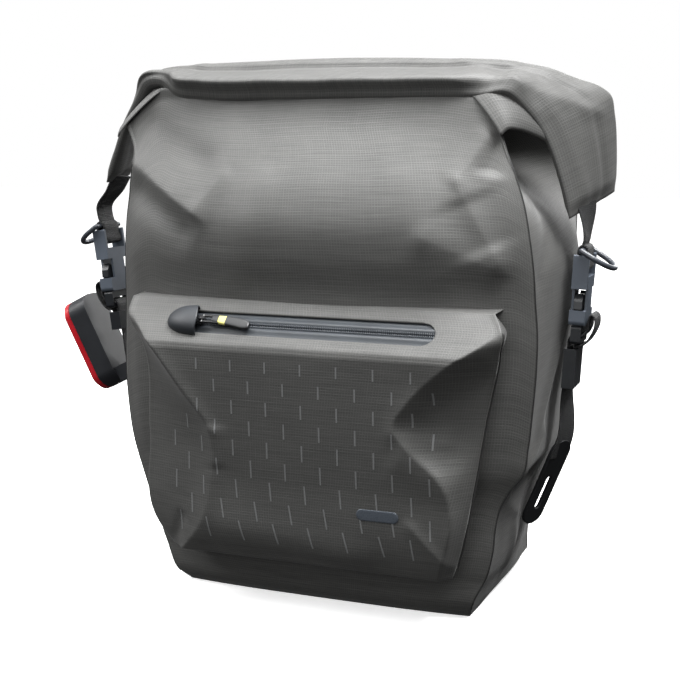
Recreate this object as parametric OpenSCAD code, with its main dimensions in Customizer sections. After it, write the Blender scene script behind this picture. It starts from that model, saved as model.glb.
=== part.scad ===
/* [Bag body] */
// Width of the front over its seams where the bag is fullest
body_w = 300; // [280:2:320]
// Width of the front over its seams at the base
base_w = 236; // [220:2:250]
// Depth of the bag from front to back
body_d = 148; // [140:1:160]
// Height at which the front starts to lean back to the roll
shoulder_h = 268; // [255:1:275]
// Height of the top edge of the front panel
crest_h = 356; // [354:1:358]
// Thickness of the coated fabric walls
wall = 2.4; // [2:0.1:3]

/* [Roll closure] */
// Width of the rolled band at the middle of the bag
roll_w = 46; // [40:1:50]
// Thickness of the rolled band at the middle of the bag
roll_t = 17; // [14:1:18]
// Thickness of the folded-down ends of the roll
arm_t = 9; // [7:1:10]

/* [Front pocket] */
// Height of the pocket's lower edge
pocket_low = 38; // [36:1:42]
// Height of the pocket's upper edge
pocket_high = 220; // [216:1:222]
// Height of the ridge below the zip
ridge_h = 192; // [190:1:194]
// How far the ridge stands in front of the bag's middle plane
ridge_y = 118; // [114:1:120]

/* [Zip] */
// Length that the slider can travel
zip_travel = 158; // [120:1:160]

/* [Straps and buckles] */
// Width of the webbing
web_w = 22; // [20:1:23]
// Thickness of the webbing
web_t = 1.8; // [1.4:0.1:2]
// How far a buckle's plug travels out of its socket
release = 23.5; // [22:0.5:24]

/* [Rear light] */
// Length of the light
light_len = 76; // [70:1:78]
// Width of the light
light_w = 34; // [30:1:36]
// Lean of the light away from the bag at its top
light_tilt = 27; // [24:1:29]

/* [Rack fittings] */
// Length of the upper rail
rail_len = 236; // [220:2:240]
// Distance of each hook from the middle
hook_x = 70; // [60:1:76]
// Radius of the rack tube that the hooks' inserts take
tube_r = 6.2; // [5.5:0.1:6.5]

/* [Hidden] */

LEFT = -1;
RIGHT = 1;
$fn = 48;
eps = 0.01;

// ---- shared geometry ----
function ease(t) = let (c = min(1, max(0, t))) c * c * (3 - 2 * c);
function mix(a, b, t) = a + (b - a) * t;
function steps(low, high, n) = [for (i = [0:n]) mix(low, high, i / n)];

// Closed shell between an outer and an inner grid of points, rows going up and columns to the right
module shell(outer, inner) {
    rows = len(outer);
    cols = len(outer[0]);
    half = rows * cols;
    function o(i, j) = i * cols + j;
    function k(i, j) = half + i * cols + j;
    faces = concat(
        [for (i = [0:rows - 2], j = [0:cols - 2]) each [
            [o(i, j), o(i + 1, j), o(i + 1, j + 1)], [o(i, j), o(i + 1, j + 1), o(i, j + 1)],
            [k(i, j), k(i + 1, j + 1), k(i + 1, j)], [k(i, j), k(i, j + 1), k(i + 1, j + 1)]]],
        [for (j = [0:cols - 2], e = [[0, j, j + 1], [rows - 1, j + 1, j]]) each [
            [o(e[0], e[1]), o(e[0], e[2]), k(e[0], e[2])],
            [o(e[0], e[1]), k(e[0], e[2]), k(e[0], e[1])]]],
        [for (i = [0:rows - 2], e = [[0, i + 1, i], [cols - 1, i, i + 1]]) each [
            [o(e[1], e[0]), o(e[2], e[0]), k(e[2], e[0])],
            [o(e[1], e[0]), k(e[2], e[0]), k(e[1], e[0])]]]);
    polyhedron(points = concat([for (row = outer) each row], [for (row = inner) each row]),
        faces = faces, convexity = 6);
}

// Closed tube through rings of points that have equal counts
module loft(rings) {
    n = len(rings[0]);
    last = len(rings) - 1;
    faces = concat(
        [for (i = [0:last - 1], j = [0:n - 1]) let (m = (j + 1) % n) each [
            [i * n + j, (i + 1) * n + j, (i + 1) * n + m],
            [i * n + j, (i + 1) * n + m, i * n + m]]],
        [[for (j = [0:n - 1]) j]],
        [[for (j = [n - 1:-1:0]) last * n + j]]);
    polyhedron(points = [for (r = rings) each r], faces = faces, convexity = 6);
}

// Outline of a band of even thickness along a line of points
function dir(a, b) = (b - a) / norm(b - a);
function left_of(d) = [-d[1], d[0]];
function corner(p, i) = let (
    a = i > 0 ? dir(p[i - 1], p[i]) : dir(p[0], p[1]),
    b = i < len(p) - 1 ? dir(p[i], p[i + 1]) : a,
    m = left_of(a) + left_of(b)) 2 * m / (m * m);
function band(p, t) = concat(
    [for (i = [0:len(p) - 1]) p[i] + corner(p, i) * t / 2],
    [for (i = [len(p) - 1:-1:0]) p[i] - corner(p, i) * t / 2]);

// An outline in X and Z, given a width along Y
module along_y(width, y) translate([0, y + width / 2, 0]) rotate([90, 0, 0])
    linear_extrude(width) children();
// An outline in Y and Z, given a width along X
module along_x(width, x) translate([x - width / 2, 0, 0]) rotate([90, 0, 90])
    linear_extrude(width) children();
module webbing(p, width, y) along_y(width, y) polygon(band(p, web_t));
// A rod along X or Y
module rod_x(r, length, at) translate(at) rotate([0, 90, 0])
    cylinder(h = length, r = r, center = true);
module rod_y(r, length, at) translate(at) rotate([90, 0, 0])
    cylinder(h = length, r = r, center = true);
// A rectangle with round corners, centred
module round_rect(w, h, r) {
    square([w - 2 * r, h], center = true);
    square([w, h - 2 * r], center = true);
    for (x = [-1, 1], y = [-1, 1]) translate([x * (w / 2 - r), y * (h / 2 - r)]) circle(r);
}
// Parts of the left side are the mirror of x measured outwards
module on_side(side) mirror([side < 0 ? 1 : 0, 0, 0]) children();

// ---- bag walls ----
floor_t = 3;
foot_r = 10;
taper_low = 20;
taper_len = 130;
front_swell = 10;
crest_lean = 30;
neck_in = 28;
neck_low = 285;
neck_top = 372;
back_top = 300;
back_lean = 80;
fold_in = 46;
y_back = body_d / 2;
function foot(z) = z < foot_r ? foot_r - sqrt(foot_r ^ 2 - (foot_r - z) ^ 2) : 0;
function seam_x(z) = base_w / 2 + (body_w - base_w) / 2 * ease((z - taper_low) / taper_len)
    - neck_in * ease((z - neck_low) / (crest_h - neck_low)) - foot(z);
function front_y(z) = -body_d / 2 + foot(z)
    + crest_lean * ease((z - shoulder_h) / (crest_h - shoulder_h));
function panel_y(x, z) = front_y(z) - front_swell * (1 - (x / seam_x(z)) ^ 2)
    * ease(z / 60) * (1 - ease((z - shoulder_h) / (crest_h - shoulder_h)));
function back_y(z) = y_back - back_lean * ease((z - back_top) / (neck_top - back_top));
function side_out(z) = mix(6, 10, ease((z - 200) / 40)) * ease(z / 30)
    - fold_in * ease((z - neck_low) / (crest_h - neck_low));

wall_rows = concat([floor_t], steps(6, 40, 4), steps(56, 262, 8), steps(272, crest_h, 7));
panel_cols = steps(-1, 1, 12);
gusset_cols = steps(0, 1, 9);

module front_panel() color("#555553") shell(
    [for (z = wall_rows) [for (u = panel_cols) [u * seam_x(z), panel_y(u * seam_x(z), z), z]]],
    [for (z = wall_rows) [for (u = panel_cols)
        [u * (seam_x(z) - wall), panel_y(u * seam_x(z), z) + wall, z]]]);

// A side panel runs from the front seam to the back seam, and folds inwards below the roll
function gusset_point(z, v, inset) = [
    seam_x(z) + side_out(z) * sin(180 * v) - inset,
    mix(front_y(z) + wall + 0.05, back_y(z) - wall - 0.05, v), z];
module side_gusset(side) color("#4c4c4a") on_side(side) shell(
    [for (z = wall_rows) [for (v = gusset_cols) gusset_point(z, v, 0)]],
    [for (z = wall_rows) [for (v = gusset_cols) gusset_point(z, v, wall)]]);

module base_panel() color("#3c3c3c") linear_extrude(floor_t) polygon(concat(
    [for (u = panel_cols) [u * seam_x(floor_t), panel_y(u * seam_x(floor_t), floor_t)]],
    [for (v = gusset_cols) let (p = gusset_point(floor_t, v, 0)) [p[0], p[1]]],
    [[seam_x(floor_t), y_back - foot(floor_t)], [-seam_x(floor_t), y_back - foot(floor_t)]],
    [for (v = [1:-1 / 9:-eps]) let (p = gusset_point(floor_t, v, 0)) [-p[0], p[1]]]));

// Screws through the rails, board and back, as x and z of each
rail_z = 260;
upper_screws = [for (x = [-108, -25, 25, 108]) [x, rail_z]];
lower_screws = [for (x = [-46, 46]) [x, 70]];
// The stay hook's bolt goes through the board too
stay_at = [0, 70];
low_holes = concat(lower_screws, [stay_at]);
screw_r = 2.5;
hole_r = 2.6;
module screw_holes(places, depth, y) for (p = places) rod_y(hole_r, depth, [p[0], y, p[1]]);
module back_outline() polygon(concat(
    [for (z = wall_rows) if (z <= back_top) [seam_x(z), z]], [[seam_x(back_top), back_top]],
    [[-seam_x(back_top), back_top]],
    [for (i = [len(wall_rows) - 1:-1:0]) if (wall_rows[i] <= back_top)
        [-seam_x(wall_rows[i]), wall_rows[i]]]));
neck_rows = steps(back_top, neck_top, 8);
module back_panel() color("#4c4c4a") {
    difference() {
        along_y(wall, y_back - wall / 2) back_outline();
        screw_holes(upper_screws, 10, y_back);
        screw_holes(low_holes, 10, y_back);
    }
    shell([for (z = neck_rows) [for (u = panel_cols) [-u * seam_x(z), back_y(z), z]]],
        [for (z = neck_rows) [for (u = panel_cols) [-u * seam_x(z), back_y(z) - wall, z]]]);
}

board_t = 3;
board_y = y_back - wall - board_t / 2;
module stiffener_board() color("#2e3033") difference() {
    along_y(board_t, board_y) translate([0, 165]) round_rect(216, 252, 14);
    screw_holes(upper_screws, 10, board_y);
    screw_holes(low_holes, 10, board_y);
}

// ---- roll closure ----
roll_y = -23;
roll_z = 373;
roll_lean = 39;
kink = [147, 126];
bend_r = [16, 34];
bend_deg = [60, 78];
arm_len = [80, 58];
arm_y = [-10, -6];
function pick(side) = side < 0 ? 0 : 1;
// x, z and turn of the band's middle line at a distance s from the middle of the bag
function band_at(s, side) = let (
    q = pick(side), r = bend_r[q], turn = bend_deg[q], bend = r * turn * PI / 180,
    a = min(turn, max(0, (s - kink[q]) / r * 180 / PI)), rest = max(0, s - kink[q] - bend))
    [min(s, kink[q]) + r * sin(a) + rest * cos(turn), roll_z - r * (1 - cos(a)) - rest * sin(turn), a];
function arm_end(side) = let (q = pick(side))
    band_at(kink[q] + bend_r[q] * bend_deg[q] * PI / 180 + arm_len[q], side);
function roll_stations(side) = let (q = pick(side), bend = bend_r[q] * bend_deg[q] * PI / 180)
    concat(steps(20, kink[q], 3), [for (s = steps(kink[q], kink[q] + bend, 6)) if (s > kink[q]) s],
        steps(kink[q] + bend + arm_len[q] / 3, kink[q] + bend + arm_len[q], 2));
function roll_ring(s, side) = let (
    q = pick(side), p = band_at(s, side),
    t = ease((s - kink[q] + 20) / 75),
    lean = mix(roll_lean, 0, t),
    across = [0, cos(lean), sin(lean)],
    along = [cos(p[2]), 0, -side * sin(p[2])],
    up = cross(along, across) / norm(cross(along, across)),
    half_w = roll_w / 2 + 1.5 * t, half_t = mix(roll_t, arm_t, t) / 2,
    centre = [side * p[0], mix(roll_y, arm_y[q], t), p[1]])
    [for (a = [0:24:359]) centre + across * half_w * cos(a) + up * half_t * sin(a)];
roll_strip_w = 26;
roll_strip_t = 2.4;
roll_strip_len = 236;
module at_roll() translate([0, roll_y, roll_z]) rotate([roll_lean, 0, 0]) children();
module roll_top() color("#686867") difference() {
    loft(concat(
        [for (i = [len(roll_stations(LEFT)) - 1:-1:0]) roll_ring(roll_stations(LEFT)[i], LEFT)],
        [for (s = roll_stations(RIGHT)) roll_ring(s, RIGHT)]));
    at_roll() cube([roll_strip_len + 0.4, roll_strip_w + 0.4, roll_strip_t + 0.4], center = true);
    for (side = [LEFT, RIGHT]) on_side(side) along_y(web_w + 0.4, chain_y)
        polygon(band(roll_strap_line(side), 2 * web_t + 0.4));
}
module roll_stiffener() color("#202224") at_roll()
    cube([roll_strip_len, roll_strip_w, roll_strip_t], center = true);

// ---- front pocket ----
pocket_lip = 2.8;
pocket_gap = 0.3;
pocket_foot = pocket_low + 6;
zip_edge_y = 88;
function pocket_x(z) = 104 + 0.16 * z;
function pocket_face(z) =
    z >= ridge_h ? mix(-ridge_y, -zip_edge_y, (z - ridge_h) / (pocket_high - ridge_h)) :
    z >= pocket_foot ? mix(-108, -ridge_y, ease((z - pocket_foot) / (ridge_h - pocket_foot))) :
    mix(-87, -108, (z - pocket_low) / (pocket_foot - pocket_low));
function pocket_point(u, z) = let (
    x = u * pocket_x(z), seat = panel_y(x, z) - pocket_lip,
    rise = min(1, (1 - abs(u)) / 0.2))
    [x, min(seat, mix(seat, pocket_face(z), rise)), z];
function pocket_inner(p) = let (
    middle = (pocket_low + pocket_high) / 2, half = (pocket_high - pocket_low) / 2,
    x = p[0] * (1 - 3 / pocket_x(p[2])), z = middle + (p[2] - middle) * (1 - 3 / half))
    [x, min(p[1] + wall, panel_y(x, z) - pocket_gap), z];
pocket_cols = concat([-1, -0.98], steps(-0.9, -0.8, 1), steps(-0.6, 0.6, 6), steps(0.8, 0.9, 1),
    [0.98, 1]);
pocket_rows = concat([pocket_low, pocket_low + 2], steps(pocket_foot, ridge_h, 8),
    steps(ridge_h + 7, pocket_high, 3));
pocket_grid = [for (z = pocket_rows) [for (u = pocket_cols) pocket_point(u, z)]];

// The zip lies in the sloping face above the ridge: x along the zip, y up the slope, z out of it
zip_mid_z = (ridge_h + pocket_high) / 2;
zip_lean = atan2(pocket_high - ridge_h, ridge_y - zip_edge_y);
module at_zip() translate([0, pocket_face(zip_mid_z), zip_mid_z]) rotate([zip_lean, 0, 0]) children();
slot_low = -100;
slider_x = -88;
slider_len = 11;
slot_high = slider_x + slider_len + zip_travel + 11;
slot_half = 10;
module zip_bar(y0, y1, z0, z1, x0 = slot_low, x1 = slot_high) translate([x0, y0, z0])
    cube([x1 - x0, y1 - y0, z1 - z0]);
module pocket_shell() color("#5c5c5a") difference() {
    shell(pocket_grid, [for (row = pocket_grid) [for (p = row) pocket_inner(p)]]);
    at_zip() zip_bar(-slot_half, slot_half, -6, 6);
}
tape_top = -0.7;
tape_low = -1.9;
teeth_in = 0.7;
teeth_out = 2.4;
module zip_tape_upper() color("#2c2f33") at_zip() zip_bar(teeth_out, slot_half, tape_low, tape_top);
module zip_tape_lower() color("#2c2f33") at_zip() zip_bar(-slot_half, -teeth_out, tape_low, tape_top);
// Interlocking teeth stand either side of the slider's neck
module zip_teeth(sign) at_zip() for (x = [slot_low + 1:4:slot_high - 3])
    zip_bar(sign > 0 ? teeth_in : -teeth_out, sign > 0 ? teeth_out : -teeth_in,
        tape_low, 0.3, x, x + 3);
teeth_foot = teeth_in + 0.5;
module zip_teeth_upper() color("#1b1c1e") {
    zip_teeth(1);
    at_zip() zip_bar(teeth_foot, teeth_out, tape_low, tape_top);
}
module zip_teeth_lower() color("#1b1c1e") {
    zip_teeth(-1);
    at_zip() zip_bar(-teeth_out, -teeth_foot, tape_low, tape_top);
}
pivot_x = slider_x + slider_len + 0.5;
pivot_z = 3.6;
module zip_slider() color("#17181a") at_zip() difference() {
    union() {
        zip_bar(-4, 4, 0.8, 2.2, slider_x, slider_x + slider_len);
        zip_bar(-3.6, 3.6, -3.9, -2.4, slider_x, slider_x + slider_len);
        zip_bar(-0.4, 0.4, -3, 1, slider_x + 2, slider_x + 5);
        zip_bar(-1.2, 1.2, 1, 5.4, slider_x + slider_len - 2.2, pivot_x + 1.8);
    }
    rod_y(1.05, 6, [pivot_x, 0, pivot_z]);
}
module zip_puller() color("#26282b") at_zip() {
    rod_y(1, 6.4, [pivot_x, 0, pivot_z]);
    for (side = [-1, 1]) translate([pivot_x + 6, side * 2.5, pivot_z])
        cube([13.8, 1.4, 1.6], center = true);
    translate([pivot_x + 12, 0, pivot_z]) cube([3, 6.4, 1.6], center = true);
}
module zip_pull_tab() color("#d8d43a") at_zip() difference() {
    translate([pivot_x + 19, 0, pivot_z]) linear_extrude(3.2, center = true)
        round_rect(18, 7.6, 2.5);
    translate([pivot_x + 12, 0, pivot_z]) cube([3.2, 6.6, 1.8], center = true);
    translate([pivot_x + 6, 0, pivot_z]) cube([13.9, 6.6, 1.8], center = true);
}
hood_len = 25;
hood_x = -104;
hood_r = 12;
hood_z = -3.6;
module zip_garage() color("#141517") at_zip() difference() {
    rod_x(hood_r, hood_len, [hood_x + hood_len / 2, 0, hood_z]);
    rod_x(hood_r - 1, hood_len, [hood_x + hood_len / 2 + 2, 0, hood_z]);
    translate([hood_x + hood_len / 2, 0, -9.7]) cube([hood_len + 2, 26, 20], center = true);
}

// Plain reflective bar low on the pocket's front
patch_at = [56, 84];
patch_t = 0.6;
patch_gap = 1.6;
module reflective_patch() color("#6d7a86")
    translate([patch_at[0], pocket_face(patch_at[1]) - patch_gap, patch_at[1]])
    rotate([90, 0, 0]) linear_extrude(patch_t) round_rect(30, 8, 4);

// ---- straps and buckles ----
// Each side's fittings hang in line from the D-ring's bar: x outwards, z up
chain_y = -8;
chain_x = [211, 172];
chain_z = [264, 257];
chain_tilt = [8, 3];
module at_chain(side) on_side(side)
    translate([chain_x[pick(side)], chain_y, chain_z[pick(side)]])
    rotate([0, chain_tilt[pick(side)], 0]) children();
function chain_pt(side, x, z) = let (q = pick(side), t = chain_tilt[q])
    [chain_x[q] + x * cos(t) + z * sin(t), chain_z[q] - x * sin(t) + z * cos(t)];
ring_r = 1.9;
ring_half = 16.8;
ring_out = 7;
ring_droop = 28;
loop_half = 2.2;
loop_low = -14;
bar_low = -12;
cheek_top = -6;
socket_low = -52;
socket_half = 14.5;
plug_half = 12.1;

// The line of webbing from the roll's end to the D-ring
function roll_strap_line(side) = let (end = arm_end(side), a = end[2])
    [[end[0] - 9 * cos(a), end[1] + 9 * sin(a)], [end[0] + 3 * cos(a), end[1] - 3 * sin(a)],
     chain_pt(side, 0, 10), chain_pt(side, 0, loop_half + web_t)];
module roll_strap(side) color("#1a1b1d") {
    on_side(side) along_y(web_w, chain_y) polygon(band(roll_strap_line(side), 2 * web_t));
    at_chain(side) along_y(web_w, 0) difference() {
        loop_outline(loop_half + web_t, loop_low);
        loop_outline(loop_half, loop_low + web_t);
    }
}
module loop_outline(half, low) hull() {
    translate([0, low]) square([2 * half, eps], center = true);
    circle(half, $fn = 32);
}

module d_ring(side) color("#3f434a") at_chain(side) rotate([0, ring_droop, 0]) {
    rod_y(ring_r, 2 * ring_half, [0, 0, 0]);
    for (y = [-1, 1]) {
        translate([0, y * ring_half, 0]) sphere(ring_r);
        rod_x(ring_r, ring_out, [ring_out / 2, y * ring_half, 0]);
    }
    translate([ring_out, 0, 0]) rotate([0, 0, -90]) rotate_extrude(angle = 180)
        translate([ring_half, 0]) circle(ring_r, $fn = 24);
}

socket_t = 11;
module buckle_socket(side) color("#5d6670") at_chain(side) difference() {
    union() {
        along_x(socket_t, 0) translate([0, (cheek_top - 8 + socket_low) / 2])
            round_rect(2 * socket_half, cheek_top - 8 - socket_low, 3);
        for (y = [-1, 1]) along_x(socket_t, 0) translate([y * 13.35, (cheek_top - 20) / 2])
            round_rect(2.3, 20, 1);
        translate([-1.6, -13, bar_low]) cube([3.2, 26, bar_low * -1 + cheek_top]);
    }
    translate([-3.8, -plug_half - 0.4, socket_low - 1]) cube([7.6, 2 * plug_half + 0.8, 32]);
    for (y = [-1, 1]) translate([0, y * 14.5, -34]) cube([socket_t + 2, 12, 15], center = true);
    translate([-7, -12.2, bar_low - 6]) cube([14, 24.4, 6]);
    for (x = [-1, 1]) translate([x * 4.6, 0, (bar_low + cheek_top) / 2]) cube([6, 24.4, 8], center = true);
}
plug_top = socket_low - 0.4;
plug_h = 12.6;
prong_top = socket_low + release - 1.5;
module buckle_plug(side) color("#232528") at_chain(side) difference() {
    union() {
        along_x(7.2, 0) translate([0, plug_top - plug_h / 2]) round_rect(27, plug_h, 2);
        translate([-1.6, -2.6, plug_top - 1]) cube([3.2, 5.2, 22]);
    }
    translate([-6, -12, plug_top - plug_h + 3]) cube([12, 24, 4.6]);
}
// Two springy prongs whose shoulders catch below the socket's side windows
module buckle_prongs(side) color("#232528") at_chain(side) for (y = [-1, 1])
    along_x(5.6, 0) polygon([[y * 7.4, plug_top], [y * 11, plug_top], [y * 11.4, socket_low + 11],
        [y * 14.2, socket_low + 11.6], [y * 13.6, socket_low + 17], [y * 10, prong_top],
        [y * 7.4, prong_top - 2]]);

keeper_h = [14, 28];
keeper_top = -69;
web_in = -4.8;
module strap_keeper(side) color("#16171a") at_chain(side)
    translate([-2.7, 0, keeper_top - keeper_h[pick(side)] / 2]) difference() {
        cube([8.8, web_w + 5, keeper_h[pick(side)]], center = true);
        cube([6.6, web_w + 1, keeper_h[pick(side)] + 2], center = true);
    }
slot_mid = plug_top - plug_h + 5.3;
anchor_top = [158, 118];
anchor_low = [128.4, 42];
// The strap runs from the plug's slot, behind its bar and down to the slotted tab
function strap_line(side) = concat(
    [chain_pt(side, -0.4, slot_mid), chain_pt(side, web_in, slot_mid - 0.8),
     chain_pt(side, web_in, keeper_top), chain_pt(side, web_in, keeper_top - keeper_h[pick(side)] - 3)],
    side < 0 ? [light_pt(-20, clip_z)] : [],
    [anchor_top + [3, 2], anchor_top + [-1.6, -12]]);
module side_strap(side) color("#16171a") on_side(side) webbing(strap_line(side), web_w, chain_y);
module strap_tail(side) color("#16171a") at_chain(side) webbing(
    [[0.8, slot_mid], [4.7, slot_mid + 0.5], [7.2, -55], [8, -46.5], [9.2, -44.6], [11, -45.2],
     [12.4, -51], [10.4, -58], [6.6, -64.4], [3.6, -66.7], [-0.6, -67.6],
     [-0.6, keeper_top - 13]], web_w, 0);

tab_t = 2.4;
tab_slot = 6;
// The broad face of the tab is made flat, then set along its leaning line
tab_deg = atan2(anchor_top[0] - anchor_low[0], anchor_top[1] - anchor_low[1]);
tab_len = norm(anchor_top - anchor_low);
module strap_anchor(side) color("#131416") on_side(side)
    translate([anchor_low[0], chain_y, anchor_low[1]]) rotate([0, tab_deg, 0]) difference() {
        along_x(tab_t, 0) translate([0, tab_len / 2]) round_rect(web_w + 2, tab_len, 6);
        along_x(tab_t + 2, 0) translate([0, 34]) round_rect(tab_slot, 30, 2.9);
        along_x(tab_t + 2, 0) translate([0, tab_len - 20]) round_rect(12, 2.4, 1.1);
    }

// ---- rear light, clipped to the left strap: x towards the lens, z along the light ----
light_at = [222, 169];
function light_pt(x, z) = [light_at[0] + x * cos(light_tilt) + z * sin(light_tilt),
    light_at[1] - x * sin(light_tilt) + z * cos(light_tilt)];
housing_back = -12;
housing_front = 3.4;
seal_front = 4.6;
lens_step = 8.5;
lens_front = 12;
shell_t = 2;
module at_light() on_side(LEFT) translate([light_at[0], chain_y, light_at[1]])
    rotate([0, light_tilt, 0]) children();
module light_plate(x0, x1, inset) along_x(x1 - x0, (x0 + x1) / 2)
    round_rect(light_w - 2 * inset, light_len - 2 * inset, (light_w - 2 * inset) / 2 - 4);
module light_housing() color("#232427") at_light() difference() {
    light_plate(housing_back, housing_front, 0);
    light_plate(housing_back + shell_t, housing_front + 1, shell_t);
}
button_r = 5;
button_z = 22;
module light_lens() color("#c8343e") at_light() difference() {
    union() { light_plate(seal_front, lens_step, 0); light_plate(lens_step, lens_front, 4); }
    light_plate(seal_front - 1, lens_step - shell_t, shell_t);
    rod_x(button_r + 0.1, 20, [lens_step, 0, button_z]);
}
module light_seal() color("#101112") at_light() difference() {
    light_plate(housing_front, seal_front, 0.6);
    light_plate(housing_front - 1, seal_front + 1, shell_t);
}
module light_button() color("#1d1e20") at_light()
    rod_x(button_r, 6.2, [lens_front - 1.6, 0, button_z]);
module light_board() color("#2f6b46") at_light() translate([0, -12, -30]) cube([1.4, 24, 60]);
module light_battery() color("#3a6ea5") at_light() translate([-4.6, 0, -24])
    cylinder(h = 48, r = 4.4);
clip_z = -32;
clip_h = 12;
module light_clip() color("#1a1b1d") at_light() translate([0, 0, clip_z]) difference() {
    translate([housing_back - 15, -14, -clip_h / 2]) cube([15, 28, clip_h]);
    translate([housing_back - 12.5, -11.8, -clip_h]) cube([10, 23.6, 2 * clip_h]);
}

// ---- rack fittings on the back ----
flange_y = [y_back + 4, y_back + 10];
flange_h = 24;
web_h = 12;
module mount_rail() color("#1c1d20") difference() {
    union() {
        translate([-rail_len / 2, y_back, rail_z - web_h / 2]) cube([rail_len, 4, web_h]);
        translate([-rail_len / 2, flange_y[0], rail_z - flange_h / 2]) cube([rail_len, 6, flange_h]);
    }
    screw_holes(upper_screws, 30, y_back + 5);
    for (p = upper_screws) rod_y(4.7, 6, [p[0], flange_y[1] + 0.4, p[1]]);
}
head_r = 4.5;
head_h = 2.2;
lower_y = [y_back, y_back + 6];
nut_y = board_y - board_t / 2;
module rail_screws() color("#8f9296") {
    for (p = upper_screws) {
        rod_y(screw_r, flange_y[1] - 60 - 2.6, [p[0], (60 + flange_y[1] - 2.6) / 2, p[1]]);
        rod_y(head_r, head_h, [p[0], flange_y[1] - 2.6 + head_h / 2, p[1]]);
    }
    for (p = lower_screws) {
        rod_y(screw_r, lower_y[1] - 60, [p[0], (60 + lower_y[1]) / 2, p[1]]);
        rod_y(head_r, head_h, [p[0], lower_y[1] + head_h / 2, p[1]]);
    }
}
module rail_nuts() color("#8f9296") for (p = concat(upper_screws, low_holes)) difference() {
    union() {
        translate([p[0], nut_y, p[1]]) rotate([90, 0, 0]) cylinder(h = 4, r = 4.6, $fn = 6);
        rod_y(7, 1, [p[0], nut_y - 0.5, p[1]]);
    }
    rod_y(hole_r, 30, [p[0], nut_y, p[1]]);
}

hook_w = 24;
tube_y = y_back + 25;
tube_z = rail_z + 9;
throat_r = 8.2;
hook_r = 13.5;
plate_y = [flange_y[1] + 0.3, tube_y - throat_r];
latch_at = [y_back + 21, rail_z - 12];
pin_r = 2;
pin_fit = 0.06;
module at_hook(side) translate([side * hook_x, 0, 0]) children();
lip_y = y_back + 2.4;
module hook_outline() {
    difference() {
        union() {
            translate([tube_y, tube_z]) circle(hook_r);
            translate([plate_y[0], rail_z - 20]) square([plate_y[1] - plate_y[0], 38]);
            translate([tube_y - hook_r, tube_z - 5]) square([5.3, 10]);
            translate([plate_y[0], rail_z - 18]) square([latch_at[0] - plate_y[0], 12]);
            translate(latch_at) circle(6);
        }
        translate([tube_y, tube_z]) circle(throat_r);
        translate([tube_y - throat_r, tube_z - 20]) square([2 * throat_r, 20]);
        translate([tube_y + throat_r - 1, tube_z - 20]) square([10, 13]);
        translate([plate_y[0] - 12, rail_z - flange_h / 2 - 0.3]) square([12, flange_h + 0.6]);
    }
    // Lips that wrap behind the rail's flange
    for (s = [-1, 1]) {
        translate([lip_y, rail_z + s * 15.3 - 3]) square([plate_y[0] - lip_y + eps, 6]);
        translate([lip_y, rail_z + s * 10.7 - 2.5]) square([1.3, 5]);
    }
}
module hook(side) color("#1a1b1e") at_hook(side) difference() {
    union() {
        along_x(hook_w, 0) hook_outline();
        for (x = [-1, 1]) along_x(6, x * 9) translate(latch_at) circle(6);
    }
    translate([-6.3, plate_y[0] - 12, rail_z - 24]) cube([12.6, 30, 21.5]);
    rod_x(pin_r + 0.02, hook_w + 2, [0, latch_at[0], latch_at[1]]);
}
module latch_pin(side) color("#9a9da1") at_hook(side)
    rod_x(pin_r, hook_w - 1, [0, latch_at[0], latch_at[1]]);
module latch(side) color("#2a2c30") at_hook(side) along_x(12, 0) difference() {
    union() {
        translate(latch_at) circle(4.6);
        translate(latch_at) polygon([[-3.4, 2.8], [3, 10.4], [15.6, 10.6], [15.6, 6.6], [3.9, 2.3]]);
        translate(latch_at) polygon([[-3.4, -2.6], [-1.4, -13], [2.6, -13], [3.4, -2.6]]);
    }
    translate(latch_at) circle(pin_r + pin_fit);
}
module hook_insert(side) color("#3a3d42") at_hook(side) along_x(hook_w - 1, 0)
    translate([tube_y, tube_z]) difference() {
        circle(throat_r - 0.02);
        circle(tube_r);
        translate([-20, -24]) square([40, 22]);
    }

handle_x = 46;
handle_y = y_back + 6;
handle_z = 294;
handle_bar_r = 2;
module handle_mounts() color("#1c1d20") for (x = [-handle_x, handle_x]) translate([x, 0, 0]) {
    translate([-15, y_back, handle_z - 7]) cube([30, 2, 12]);
    for (s = [-1, 1]) translate([s * 13 - 1.5, y_back + 1, handle_z - 4]) cube([3, 7.6, 8]);
    rod_x(handle_bar_r, 27, [0, handle_y, handle_z]);
}
module carry_handle() color("#16171a") {
    along_y(2.6, handle_y) difference() {
        translate([0, handle_z + 20]) round_rect(2 * handle_x + web_w, 45, 16);
        translate([0, handle_z + 8]) round_rect(2 * handle_x - web_w, 33, 8);
        translate([0, handle_z - 8]) square([200, 20], center = true);
    }
    for (x = [-handle_x, handle_x]) difference() {
        rod_x(3.6, web_w, [x, handle_y, handle_z]);
        rod_x(handle_bar_r + 0.08, web_w + 2, [x, handle_y, handle_z]);
    }
}

module lower_rail() color("#1c1d20") difference() {
    along_y(lower_y[1] - lower_y[0], (lower_y[0] + lower_y[1]) / 2) translate(stay_at)
        round_rect(116, 18, 6);
    screw_holes(low_holes, 30, y_back);
}
// Fin that turns on its bolt and hooks behind the rack's leg
stay_y = lower_y[1] + 0.2;
module stay_hook() color("#232529") difference() {
    union() {
        along_y(4, stay_y + 2) {
            translate(stay_at) circle(11);
            translate(stay_at + [0, 14]) square([16, 28], center = true);
        }
        translate([-8, stay_y + 4 - eps, 88]) cube([16, 16, 4]);
        translate([-8, stay_y + 16, 88]) cube([16, 4, 14]);
    }
    screw_holes([stay_at], 30, y_back + 8);
}
module stay_hook_bolt() color("#8f9296") {
    rod_y(screw_r + 0.04, 22, [stay_at[0], y_back + 1, stay_at[1]]);
    rod_y(5, 2.6, [stay_at[0], y_back + 11.9, stay_at[1]]);
}

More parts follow.
